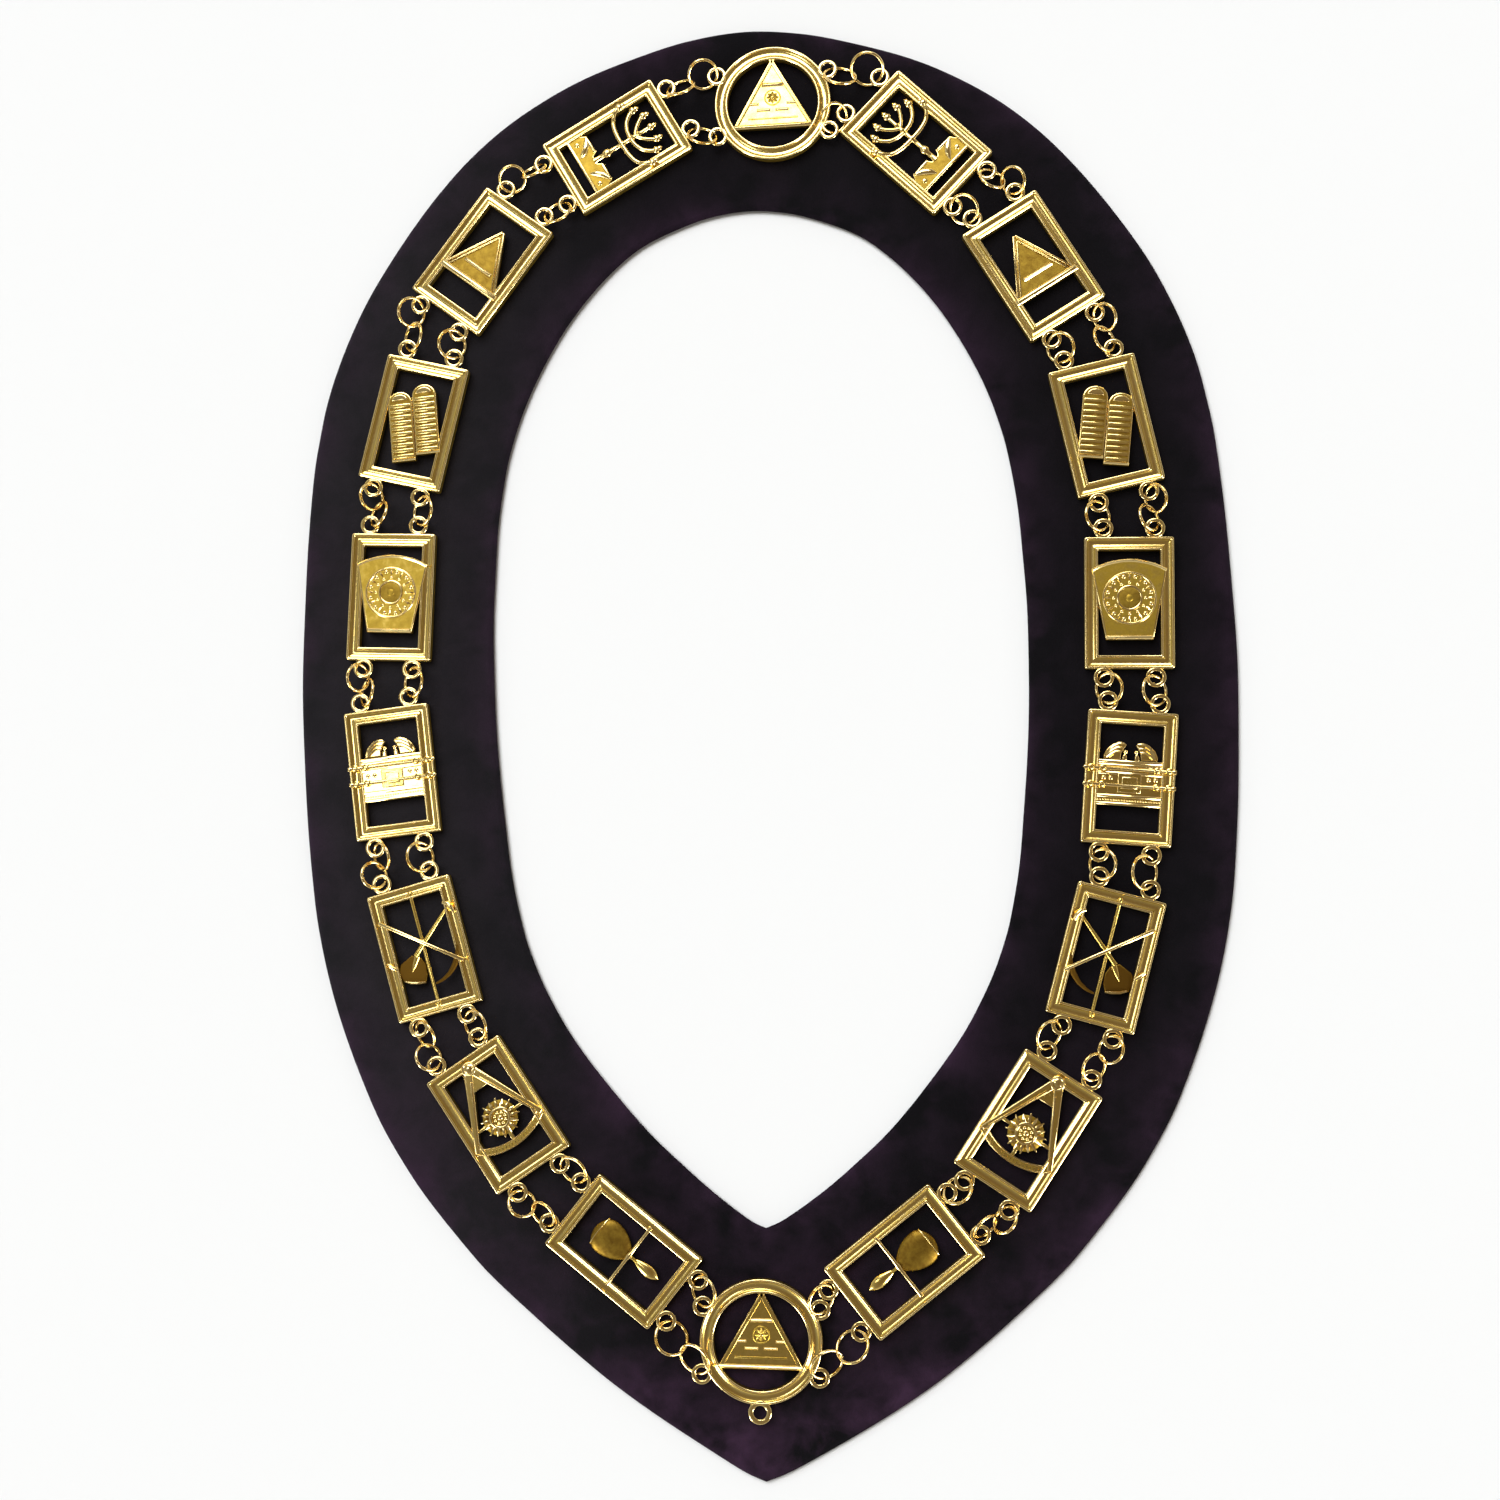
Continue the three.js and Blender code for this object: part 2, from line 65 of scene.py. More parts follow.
INNER = [
    (0, -166.5), (6.1, -163.9), (18.7, -155.1), (29.2, -146.2), (38.8, -137.4),
    (46.9, -128.5), (54.1, -119.7), (61.0, -110.8), (67.0, -102.0),
    (72.0, -93.1), (76.3, -84.3), (79.7, -75.4), (82.4, -66.6), (86.0, -48.9),
    (88.0, -31.2), (89.8, -13.5), (91.0, 4.2), (91.5, 21.9), (91.6, 39.6),
    (90.7, 57.3), (89.5, 75.0), (86.8, 92.7), (84.7, 101.5), (82.0, 110.4),
    (78.6, 119.2), (74.4, 128.1), (69.6, 136.9), (63.9, 145.8), (57.0, 154.6),
    (48.5, 163.5), (37.2, 172.3), (20.0, 179.4), (8.8, 181.9), (0, 182.6),
]
LEFT = [
    (-46.1, 208.5, -60.8), (-94.9, 169.6, -37.8), (-120.1, 112.2, -14.3),
    (-128.6, 50.4, -3.0), (-128.5, -11.2, 5.8), (-117.5, -72.5, 14.7),
    (-92.3, -129.1, 33.0), (-49.9, -175.0, 50.4),
]
RIGHT = [
    (59.3, 203.7, 45.2), (98.2, 157.2, 30.2), (120.8, 99.9, 11.2),
    (126.2, 38.6, -1.9), (123.9, -20.7, -5.6), (113.8, -80.3, -16.3),
    (86.1, -136.6, -34.2), (44.0, -179.2, -52.3),
]
TOP_MED = (9.5, 220.9, 0.0)
FRONT_MED = (-4.2, -204.8, -2.0)
# node, then for each ring: radius, centre, polar angle and azimuth of its axis
RINGS = [
    ('ring_pair_left_1_2_outer', (4.6, -75.83, 200.81, 6.41, 0.909, 1.990), (4.6, -83.54, 198.47, 5.83, 0.646, -0.966)),
    ('ring_left_1_2_inner', (5.0, -67.51, 185.45, 5.80, 0.648, 2.058)),
    ('ring_pair_left_2_3_outer', (5.0, -120.20, 151.66, 6.64, 0.744, -0.286), (5.0, -119.60, 142.84, 6.62, 0.748, 3.023)),
    ('ring_left_2_3_inner', (5.0, -105.91, 139.62, 5.82, 0.651, -0.172)),
    ('ring_pair_left_3_4_outer', (4.6, -135.00, 85.94, 6.30, 0.871, 0.076), (4.6, -132.44, 79.88, 6.09, 0.799, 2.698)),
    ('ring_left_3_4_inner', (5.0, -116.74, 80.28, 5.93, 0.681, 3.079)),
    ('ring_pair_left_4_5_outer', (4.6, -139.95, 21.92, 6.60, 0.945, -0.049), (4.6, -136.66, 16.65, 6.89, 0.892, 2.944)),
    ('ring_left_4_5_inner', (5.0, -120.42, 19.88, 6.01, 0.701, 3.067)),
    ('ring_pair_left_5_6_outer', (4.6, -131.88, -40.62, 6.48, 0.775, -2.866), (4.6, -134.62, -46.93, 6.18, 0.744, 0.344)),
    ('ring_left_5_6_inner', (5.0, -118.34, -40.98, 6.23, 0.763, 0.168)),
    ('ring_pair_left_6_7_outer', (4.6, -116.87, -101.79, 6.18, 0.769, -2.578), (4.6, -115.89, -109.44, 6.03, 0.786, 0.510)),
    ('ring_left_6_7_inner', (5.0, -99.61, -98.79, 5.74, 0.633, -2.738)),
    ('ring_pair_left_7_8_outer', (4.6, -84.07, -158.77, 6.05, 0.665, 0.798), (4.6, -76.89, -162.37, 5.77, 0.707, -2.392)),
    ('ring_left_7_8_inner', (5.0, -66.38, -147.84, 5.98, 0.691, -2.301)),
    ('ring_right_1_2_inner', (5.0, 75.09, 178.14, 5.75, 0.637, -2.185)),
    ('ring_pair_right_1_2_outer', (4.6, 85.22, 188.29, 6.29, 0.707, 0.891), (4.6, 92.22, 187.24, 6.35, 0.724, -2.545)),
    ('ring_right_2_3_inner', (5.0, 106.39, 127.51, 5.66, 0.613, -2.675)),
    ('ring_pair_right_2_3_outer', (4.6, 121.57, 137.11, 6.56, 0.830, -2.634), (4.6, 121.17, 129.66, 6.38, 0.743, 0.335)),
    ('ring_right_3_4_inner', (5.0, 116.72, 68.57, 5.66, 0.615, 0.134)),
    ('ring_pair_right_3_4_outer', (4.6, 136.24, 73.55, 6.24, 0.839, -2.928), (4.6, 133.73, 67.16, 6.26, 0.812, 0.310)),
    ('ring_right_4_5_inner', (5.0, 118.22, 9.61, 5.75, 0.635, -3.008)),
    ('ring_right_4_5_outer', (5.0, 133.21, 8.28, 5.78, 0.631, 0.096)),
    ('ring_right_5_6_inner', (5.0, 113.80, -49.33, 5.75, 0.628, 3.120)),
    ('ring_right_5_6_outer', (5.6, 127.41, -52.43, 6.36, 0.707, -0.068)),
    ('ring_right_6_7_inner', (5.0, 94.05, -105.43, 6.40, 0.775, -0.547)),
    ('ring_pair_right_6_7_outer', (4.6, 114.17, -110.61, 5.73, 0.658, 2.683), (4.6, 108.41, -116.28, 5.66, 0.677, -0.468)),
    ('ring_right_7_8_inner', (5.0, 62.35, -155.73, 6.46, 0.775, 2.161)),
    ('ring_pair_right_7_8_outer', (4.6, 77.57, -165.50, 6.67, 0.879, 2.468), (4.6, 71.25, -167.43, 6.68, 1.013, -0.810)),
    ('ring_pair_top_left_outer', (5.0, -14.75, 232.34, 6.23, 0.694, -1.303), (5.0, -22.72, 228.10, 6.31, 0.771, 1.877)),
    ('ring_top_left_inner', (5.0, -15.47, 210.01, 6.03, 0.709, 1.222)),
    ('ring_pair_top_right_outer', (5.6, 33.59, 228.51, 6.44, 0.707, 1.312), (5.6, 43.10, 230.51, 6.36, 0.674, -1.779)),
    ('ring_top_right_inner', (5.0, 30.97, 213.60, 6.08, 0.709, -0.795)),
    ('ring_pair_bottom_left_outer', (5.6, -26.32, -210.08, 6.18, 0.656, -2.413), (5.6, -33.99, -203.21, 6.05, 0.629, 0.656)),
    ('ring_bottom_left_inner', (5.0, -22.92, -188.25, 5.85, 0.644, -2.939)),
    ('ring_pair_bottom_right_outer', (5.6, 17.56, -211.81, 6.35, 0.688, -0.849), (5.6, 26.19, -206.09, 6.27, 0.661, 2.193)),
    ('ring_bottom_right_inner', (5.0, 16.32, -190.85, 6.28, 0.774, -0.391)),
]


# ---------------------------------------------------------------- mesh tools
class Shell:
    """Closed shells of one piece, in millimetres, with a wear-and-shade value a point: polish and tarnish, together
    with painted shade in hollows and down the sides.
    """

    def __init__(self):
        self.v, self.f, self.w, self.m = [], [], [], []

    def loft(self, rings, close=False, caps=True, wear=0.0, mat=0):
        n, base = len(rings[0]), len(self.v)
        for k, r in enumerate(rings):
            w = wear[k] if isinstance(wear, (list, tuple)) else wear
            for p in r:
                self.v.append((float(p[0]), float(p[1]), float(p[2])))
                self.w.append(float(w))
        steps = len(rings) if close else len(rings) - 1
        for k in range(steps):
            a, b = base + k * n, base + ((k + 1) % len(rings)) * n
            for i in range(n):
                j = (i + 1) % n
                self.f.append((a + i, a + j, b + j, b + i))
                self.m.append(mat)
        if caps and not close:
            self.f.append(tuple(base + i for i in reversed(range(n))))
            self.f.append(tuple(base + (len(rings) - 1) * n + i for i in range(n)))
            self.m += [mat, mat]

    def placed(self, x=0.0, y=0.0, degrees=0.0, mirror=False, tilt=(0.0, 0.0)):
        v = np.array(self.v)
        if mirror:
            v[:, 0] *= -1
        if tilt != (0.0, 0.0):
            v[:, 2] += v[:, 0] * math.tan(tilt[0]) + v[:, 1] * math.tan(tilt[1])
        a = math.radians(degrees)
        c, s = math.cos(a), math.sin(a)
        return np.stack([v[:, 0] * c - v[:, 1] * s + x, v[:, 0] * s + v[:, 1] * c + y, v[:, 2]], 1)


def make_object(name, verts_mm, faces, wear=None, mats=(), mat_index=None, angle=38.0):
    mesh = bpy.data.meshes.new(name)
    mesh.from_pydata([tuple(p) for p in np.asarray(verts_mm) * MM], [], faces)
    for m in mats:
        mesh.materials.append(m)
    if mat_index is not None:
        mesh.polygons.foreach_set("material_index", mat_index)
    bm = bmesh.new()
    bm.from_mesh(mesh)
    bmesh.ops.recalc_face_normals(bm, faces=bm.faces)
    bm.to_mesh(mesh)
    bm.free()
    mesh.polygons.foreach_set("use_smooth", [True] * len(mesh.polygons))
    mesh.set_sharp_from_angle(angle=math.radians(angle))
    if wear is not None:
        att = mesh.attributes.new("wear", "FLOAT", "POINT")
        att.data.foreach_set("value", np.asarray(wear, np.float32))
    mesh.update()
    o = bpy.data.objects.new(name, mesh)
    bpy.context.scene.collection.objects.link(o)
    return o


def ccw(P):
    P = np.asarray(P, float)
    a = P[:, 0] * np.roll(P[:, 1], -1) - np.roll(P[:, 0], -1) * P[:, 1]
    return P if a.sum() > 0 else P[::-1]


def inset(P, d):
    """The polygon moved inwards by d, with mitred corners."""
    e = np.roll(P, -1, 0) - P
    e /= np.maximum(np.linalg.norm(e, axis=1), 1e-9)[:, None]
    n = np.stack([-e[:, 1], e[:, 0]], 1)
    n0 = np.roll(n, 1, 0)
    k = 1 + (n * n0).sum(1)
    return P + d * (n + n0) / np.maximum(k, 0.45)[:, None]


def prism(S, P, z0, z1, bevel=0.25, steps=3, wear=(0.85, 0.1, 0.3), soften=True, roof=None):
    """An upright plate with rounded upper edges, or with sloping ones (run, rise)."""
    P = ccw(P)
    if roof:
        run, rise = roof
        S.loft([np.c_[P, np.full(len(P), z0)], np.c_[P, np.full(len(P), z1 - rise)], np.c_[inset(P, 0.06), np.full(len(P), z1 - rise + 0.08)],
                np.c_[inset(P, run * 0.93), np.full(len(P), z1 - 0.03)], np.c_[inset(P, run), np.full(len(P), z1)]], wear=[wear[0], wear[0] * 0.7, 0.0, 0.0, 0.0])
        return
    P0 = inset(P, 0.08) if soften else P
    rings = [np.c_[P0, np.full(len(P), z0)], np.c_[P, np.full(len(P), z0 + 0.1)], np.c_[P, np.full(len(P), z1 - bevel)]]
    w = [wear[0], wear[0], wear[1]]
    for k in range(1, steps + 1):
        a = k / steps * math.pi / 2
        rings.append(np.c_[inset(P, bevel * (1 - math.cos(a))), np.full(len(P), z1 - bevel + bevel * math.sin(a))])
        w.append(wear[1])
    rings.append(np.c_[inset(P, bevel + 0.18), np.full(len(P), z1)])
    w.append(wear[2])
    S.loft(rings, wear=w)


def circle(cx, cy, r, n, turn=0.0):
    a = turn + np.arange(n) * 2 * math.pi / n
    return np.stack([cx + r * np.cos(a), cy + r * np.sin(a)], 1)


def lathe_z(S, cx, cy, profile, n, close=True, wear=0.0, sx=1.0, sy=1.0, turn=0.0):
    """A ring or boss about an upright axis; profile is (radius, z)."""
    rings = [np.c_[circle(0, 0, r, n, turn) * (sx, sy) + (cx, cy), np.full(n, z)] for r, z in profile]
    S.loft(rings, close=close, wear=wear)


def boss(S, cx, cy, r, z0, high, n=12, wear=0.1, sx=1.0, sy=1.0, turn=0.0):
    prof = [(r, z0 - 0.3), (r, z0)] + [(r * math.cos(a), z0 + high * math.sin(a)) for a in (0.35, 0.7, 1.05, 1.35)] + [(r * 0.05, z0 + high)]
    lathe_z(S, cx, cy, prof, n, close=False, wear=wear, sx=sx, sy=sy, turn=turn)


def torus_z(S, cx, cy, R, rw, z, rz=None, n=28, k=10, wear=0.1):
    rz = rz or rw
    prof = [(R + rw * math.cos(a), z + rz * math.sin(a)) for a in np.arange(k) * 2 * math.pi / k]
    lathe_z(S, cx, cy, prof, n, close=True, wear=wear)


def tube(S, pts, radii, n=10, flat=0.8, wear=0.1, close=False):
    """A round or flattened rod along points (x, y, z)."""
    pts = np.asarray(pts, float)
    radii = np.full(len(pts), radii, float) if np.isscalar(radii) else np.asarray(radii, float)
    d = np.gradient(pts, axis=0)
    if close:
        d = np.roll(pts, -1, 0) - np.roll(pts, 1, 0)
    d /= np.linalg.norm(d, axis=1)[:, None]
    rings = []
    for p, t, r in zip(pts, d, radii):
        side = np.cross(t, (0, 0, 1.0))
        if np.linalg.norm(side) < 1e-6:
            side = np.array([1.0, 0, 0])
        side /= np.linalg.norm(side)
        up = np.cross(side, t)
        a = np.arange(n) * 2 * math.pi / n
        rings.append(p + r * (np.cos(a)[:, None] * side + flat * np.sin(a)[:, None] * up))
    S.loft(rings, close=close, wear=wear)


def turned_rod(S, a, b, profile, z=4.1, flat=0.8, n=14, wear=0.12):
    """A turned piece lying between a and b; profile is (share of the length, radius)."""
    a, b = np.array(a, float), np.array(b, float)
    d = (b - a) / np.linalg.norm(b - a)
    side = np.array([-d[1], d[0]])
    rings = []
    for t, r in profile:
        c = a + (b - a) * t
        u = np.arange(n) * 2 * math.pi / n
        rings.append(np.c_[c + np.outer(r * np.cos(u), side), z + flat * r * np.sin(u)])
    S.loft(rings, wear=wear)


def strip(S, pts, w, z0, z1, bevel=0.22, **k):
    """A flat band of width w, or of two widths, along a line."""
    pts = np.asarray(pts, float)
    w = np.full(len(pts), w, float) if np.isscalar(w) else np.asarray(w, float)
    d = np.gradient(pts, axis=0)
    d /= np.linalg.norm(d, axis=1)[:, None]
    nrm = np.stack([-d[:, 1], d[:, 0]], 1)
    P = np.r_[pts + nrm * w[:, None] / 2, (pts - nrm * w[:, None] / 2)[::-1]]
    prism(S, P, z0, z1, bevel, **k)


def arc(cx, cy, r, a0, a1, n):
    a = np.radians(np.linspace(a0, a1, n))
    return np.stack([cx + r * np.cos(a), cy + r * np.sin(a)], 1)


def rect(x0, y0, x1, y1):
    return [(x0, y0), (x1, y0), (x1, y1), (x0, y1)]


def round_rect(w, h, r, k=4):
    pts = []
    for cx, cy, a in ((w - r, h - r, 0), (-w + r, h - r, 90), (-w + r, -h + r, 180), (w - r, -h + r, 270)):
        for i in range(k + 1):
            t = math.radians(a + 90 * i / k)
            pts.append((cx + r * math.cos(t), cy + r * math.sin(t)))
    return np.array(pts)


# the moulding of a frame: (inset from the outer edge, height, wear and painted shade); the dark 1.0 and 0.9 at the foot
# of each ridge paint a thin line of shade there, and the 0.9 down the sides paints shade on the sides
MOULDING = [
    (0.12, 2.40, 0.9), (0.0, 2.55, 0.9), (0.0, 4.90, 0.4), (0.04, 5.15, 0.0), (0.18, 5.36, 0.0), (0.45, 5.45, 0.0),
    (0.72, 5.38, 0.0), (0.88, 5.20, 0.1), (0.94, 5.02, 1.0), (1.04, 4.97, 0.9), (1.20, 4.88, 0.35), (1.50, 4.74, 0.2), (1.90, 4.62, 0.15),
    (2.3, 4.58, 0.15), (2.70, 4.62, 0.15), (3.10, 4.74, 0.2), (3.40, 4.88, 0.35), (3.56, 4.97, 0.9), (3.66, 5.02, 1.0), (3.72, 5.20, 0.1), (3.88, 5.38, 0.0),
    (4.15, 5.45, 0.0), (4.42, 5.36, 0.0), (4.56, 5.15, 0.0), (4.60, 4.90, 0.4), (4.60, 2.55, 0.9), (4.48, 2.40, 0.9),
]


def frame_moulding(S):
    rings, wear = [], []
    for d, z, w in MOULDING:
        r = max(0.35, 0.8 - d * 0.1)
        rings.append(np.c_[round_rect(PLATE_W / 2 - d, PLATE_H / 2 - d, r), np.full(20, z)])
        wear.append(w)
    S.loft(rings, close=True, wear=wear)


def eyelet(S, x, y, r=EYE_R, hole=EYE_HOLE, n=30):
    mid, half = (r + hole) / 2, (r - hole) / 2
    prof, wear = [], []
    for a in np.arange(16) * 2 * math.pi / 16:
        c, s = math.cos(a), math.sin(a)
        prof.append((mid + half * np.sign(c) * abs(c) ** 0.7, EYE_Z + 0.45 * np.sign(s) * abs(s) ** 0.7))
        # painted shade: the wall inside the hole gets the darkest tone and the lower outer side a middle one, only the
        # top stays polished
        wear.append(0.0 if s > 0.3 else (1.0 if c < 0 else 0.5))
    lathe_z(S, x, y, prof, n, wear=wear)


# ---------------------------------------------------------------- emblems
E0, E1, E2 = 3.2, 4.8, 5.22          # underside, plain face, raised face
IX, IY = PLATE_W / 2 - BAND, PLATE_H / 2 - BAND
FACE = (0.9, 0.0, 0.5)               # wear and painted shade on the sides, the bevel and the face; the dark sides paint shade
EDGE = (0.9, 0.0, 0.05)


def candlestick(S):
    turned_rod(S, (0, -9.5), (0, 13.0), [(0, 1.3), (0.06, 1.0), (0.17, 0.85), (0.2, 1.5), (0.24, 1.7), (0.28, 1.4), (0.31, 0.8), (0.48, 0.8), (0.5, 1.25),
                                        (0.53, 1.25), (0.55, 0.8), (0.68, 0.75), (0.71, 1.2), (0.74, 0.75), (0.8, 0.75), (0.83, 1.15), (0.86, 0.7), (1, 0.7)], z=4.35, flat=0.66)
    for sgn in (-1, 1):
        for line, r in (
            ([(0.4, 7.8), (1.9, 8.9), (3.4, 10.6), (4.9, 12.9)], 0.72),
            ([(0.4, 5.6), (3.2, 5.9), (5.9, 7.2), (7.6, 9.2), (8.5, 11.0)], 0.78),
            ([(0.4, 1.9), (4.2, 2.0), (7.8, 2.8), (10.4, 4.6), (11.9, 7.4)], 0.82),
        ):
            k = np.array(line, float)
            u = np.linspace(0, len(k) - 1, 16)
            p = np.stack([np.interp(u, range(len(k)), k[:, c]) for c in range(2)], 1)
            p[1:-1] = (p[:-2] + 2 * p[1:-1] + p[2:]) / 4
            z = 4.45 + 0.75 * np.clip((np.abs(p[:, 0]) - 9.3) / 1.6, 0, 1)
            tube(S, np.c_[p[:, 0] * sgn, p[:, 1], z], r, n=12, flat=0.85)
    for x, y, z in ((0, 12.6, 4.4), (4.9, 12.3, 4.4), (-4.9, 12.3, 4.4), (8.5, 10.1, 4.5), (-8.5, 10.1, 4.5), (11.9, 6.6, 5.25), (-11.9, 6.6, 5.25)):
        turned_rod(S, (x, y), (x, y + 3.6), [(0, 0.5), (0.12, 1.2), (0.35, 1.5), (0.5, 1.25), (0.6, 0.8), (0.74, 0.95), (0.88, 0.6), (1, 0.06)], z=z, flat=0.55, n=12, wear=0.0)
    prism(S, [(-10.9, -14.9), (10.9, -14.9), (10.9, -10.2), (9.2, -7.2), (2.5, -7.0), (1.5, -8.9), (-1.5, -8.9), (-2.5, -7.0), (-9.2, -7.2), (-10.9, -10.2)], E0, 4.75, 0.22, wear=(0.9, 0.0, 0.72))
    strip(S, [(-10.9, -14.3), (10.9, -14.3)], 1.1, E0 + 0.3, 5.05, 0.35, wear=EDGE)
    for sgn in (-1, 1):
        tube(S, [(sgn * 8.9, -7.6, 4.7), (sgn * 6.2, -9.2, 4.95), (sgn * 4.3, -11.2, 4.95), (sgn * 3.4, -13.0, 4.65)], [0.5, 1.15, 1.05, 0.35], n=10, flat=0.55, wear=0.0)
        strip(S, [(sgn * 2.6, -7.6), (sgn * 9.0, -7.8)], 1.0, E0 + 0.3, 5.1, 0.35, wear=EDGE)
        boss(S, sgn * 8.2, -11.8, 1.0, 4.7, 0.4, 12)


def triangle(S):
    prism(S, [(-11.2, -9.2), (11.2, -9.2), (0, 12.6)], E0, 4.6, 0.2, wear=(0.9, 0.0, 0.8))
    for sgn in (-1, 1):
        strip(S, [(sgn * 11.3, -8.2), (sgn * 0.25, 12.4)], 0.75, E0 + 0.2, 5.3, 0.28, wear=EDGE)
        strip(S, [(sgn * 9.9, -8.0), (sgn * 0.1, 10.3)], 0.6, E0 + 0.2, 5.1, 0.22, wear=EDGE)
    prism(S, rect(-12.2, -9.5, 12.2, -7.3), E0, 5.8, wear=EDGE, roof=(0.9, 0.52))
    prism(S, rect(-5.9, -3.4, 5.6, -1.9), E0, 5.2, wear=EDGE, roof=(0.65, 0.4))


def tablets(S):
    t = math.radians(18)
    c, s = math.cos(t), math.sin(t)

    def turn(P):
        P = np.asarray(P, float)
        return np.stack([P[:, 0] * c - P[:, 1] * s, P[:, 0] * s + P[:, 1] * c], 1)

    for cx, cy, top in ((-4.35, -0.9, 5.5), (4.4, 0.9, 5.5)):
        P = [(cx - 4.3, cy - 12.5), (cx + 4.3, cy - 12.5), (cx + 4.3, cy + 8.6)] + \
            [(cx + 4.3 * math.cos(a), cy + 8.6 + 4.0 * math.sin(a)) for a in np.linspace(0.2, math.pi - 0.2, 11)] + [(cx - 4.3, cy + 8.6)]
        prism(S, turn(P), E0, top, 0.45, steps=4, wear=(0.9, 0.0, 0.85))
        for i in range(10):
            y = cy - 10.9 + i * 2.02
            prism(S, turn(rect(cx - 3.6, y - 0.62, cx + 3.6, y + 0.62)), E0 + 0.6, top + 0.32, 0.14, steps=2, wear=(1.1, 0.1, 0.3))
        strip(S, turn([(cx - 4.3, cy - 12.1), (cx + 4.3, cy - 12.1)]), 1.0, E0 + 0.6, top + 0.35, wear=EDGE, roof=(0.44, 0.3))
        prism(S, turn([(cx + 2.9 * math.cos(a), cy + 9.3 + 2.3 * math.sin(a)) for a in np.linspace(0, math.pi, 11)]), E0 + 0.6, top + 0.3, 0.35, steps=3, wear=EDGE)


def keystone(S):
    top = [(12.6, 11.5), (10.6, 12.6), (8.0, 13.6), (5.4, 14.3), (2.7, 14.75), (0, 14.9)]
    P = [(-8.0, -12.6), (8.0, -12.6)] + top + [(-x, y) for x, y in top[:-1][::-1]]
    prism(S, P, E0, 5.5, 0.5, steps=5, wear=(0.9, 0.0, 0.55))
    strip(S, [(-7.9, -11.9), (7.9, -11.9)], 1.5, E0 + 0.2, 5.9, wear=EDGE, roof=(0.68, 0.42))
    crown = [(-a, b) for a, b in top] + top[:-1][::-1]
    strip(S, [(x * 0.985, y - 0.6) for x, y in crown], 1.1, E0 + 0.2, 5.85, wear=EDGE, roof=(0.5, 0.34))
    cy = 1.5
    torus_z(S, 0, cy, 8.7, 0.42, 5.5, 0.32, n=56, wear=0.05)
    torus_z(S, 0, cy, 4.0, 0.42, 5.5, 0.3, n=36, wear=0.05)
    for i in range(12):
        a = i * math.pi / 6
        for r, sz in ((5.35, 0.62), (7.45, 0.78)):
            b = a + (math.pi / 12 if r > 6 else 0)
            boss(S, r * math.cos(b), cy + r * math.sin(b), sz, 5.46, 0.42, 10, wear=0.0)
        b = a
        p = [(6.3 * math.cos(b), cy + 6.3 * math.sin(b), 5.5), (7.3 * math.cos(b), cy + 7.3 * math.sin(b), 5.68), (8.1 * math.cos(b), cy + 8.1 * math.sin(b), 5.5)]
        tube(S, p, [0.25, 0.5, 0.2], n=8, flat=0.7, wear=0.0)
    lathe_z(S, 0, cy, [(0.1, 4.6), (3.55, 4.6), (3.55, 5.53), (3.4, 5.56), (0.1, 5.56)], 28, close=False, wear=0.75)
    boss(S, 0, cy, 1.3, 5.5, 0.3, 16, wear=0.65)


def chest(S):
    prism(S, rect(-IX - 0.9, -9.4, IX + 0.9, 5.7), E0, 4.95, 0.3, wear=(0.9, 0.0, 0.2))
    for y, w, z in ((5.2, 0.9, 5.3), (3.9, 0.8, 5.2), (1.3, 0.8, 5.35), (-6.4, 0.9, 5.35), (-9.0, 0.8, 5.3)):
        strip(S, [(-IX - 0.8, y), (IX + 0.8, y)], w + 0.2, E0 + 0.2, z, wear=EDGE, roof=(w * 0.45, w * 0.3))
    # the carrying poles run across the frame
    for y in (2.75, -2.8):
        turned_rod(S, (-15.6, y), (15.6, y), [(0, 0.35), (0.01, 0.8), (0.035, 0.95), (0.055, 0.7), (0.07, 0.6), (0.93, 0.6), (0.945, 0.7), (0.965, 0.95), (0.99, 0.8), (1, 0.35)], z=5.25, flat=0.85, wear=0.0)
        for x in (-12.9, 12.9, -9.0, 9.0):
            torus_z(S, x, y, 0.85, 0.38, 5.5, 0.34, n=16, k=8, wear=0.2)
    prism(S, rect(-3.9, -5.2, 3.9, 1.5), E0, 5.4, 0.35, steps=3, wear=(0.9, 0.0, 0.35))
    prism(S, rect(-2.6, -3.9, 2.6, 0.2), E0, 5.62, 0.35, steps=3, wear=(0.9, 0.0, 0.3))
    for x in (-8.6, -6.3, 6.3, 8.6):
        boss(S, x, -0.4, 0.85, 4.9, 0.55, 12, wear=0.0)
    for x in np.linspace(-10.2, 10.2, 24):
        boss(S, x, -7.8, 0.36, 4.95, 0.34, 8, wear=0.0)
    for sgn in (-1, 1):
        wing = [(8.9, 6.0), (9.0, 7.2), (8.0, 9.4), (6.2, 11.1), (4.2, 12.0), (2.6, 11.9), (1.5, 11.0), (2.4, 9.6), (3.2, 7.9), (3.4, 6.0)]
        prism(S, [(sgn * x, y) for x, y in wing], E0, 4.85, 0.35, steps=4, wear=(0.9, 0.0, 0.2))
        for q in ((0.0, 0.0), (0.55, -1.35), (0.95, -2.7)):
            line = np.array([(2.1 + q[0], 11.3 + q[1]), (4.2 + q[0] * 0.9, 11.3 + q[1]), (6.2 + q[0] * 0.6, 10.1 + q[1]), (7.6 + q[0] * 0.3, 8.2 + q[1] * 0.7), (8.1, 6.5)])
            tube(S, np.c_[line[:, 0] * sgn, line[:, 1], np.full(5, 4.85)], [0.3, 0.5, 0.55, 0.5, 0.3], n=8, flat=0.85, wear=0.0)
        body = [(1.3, 5.6), (3.0, 5.6), (2.7, 7.2), (2.0, 8.3), (1.3, 7.4)]
        prism(S, [(sgn * x, y) for x, y in body], E0, 5.05, 0.4, steps=3, wear=EDGE)
        boss(S, sgn * 1.75, 8.6, 0.75, 4.5, 0.65, 12, wear=0.0)


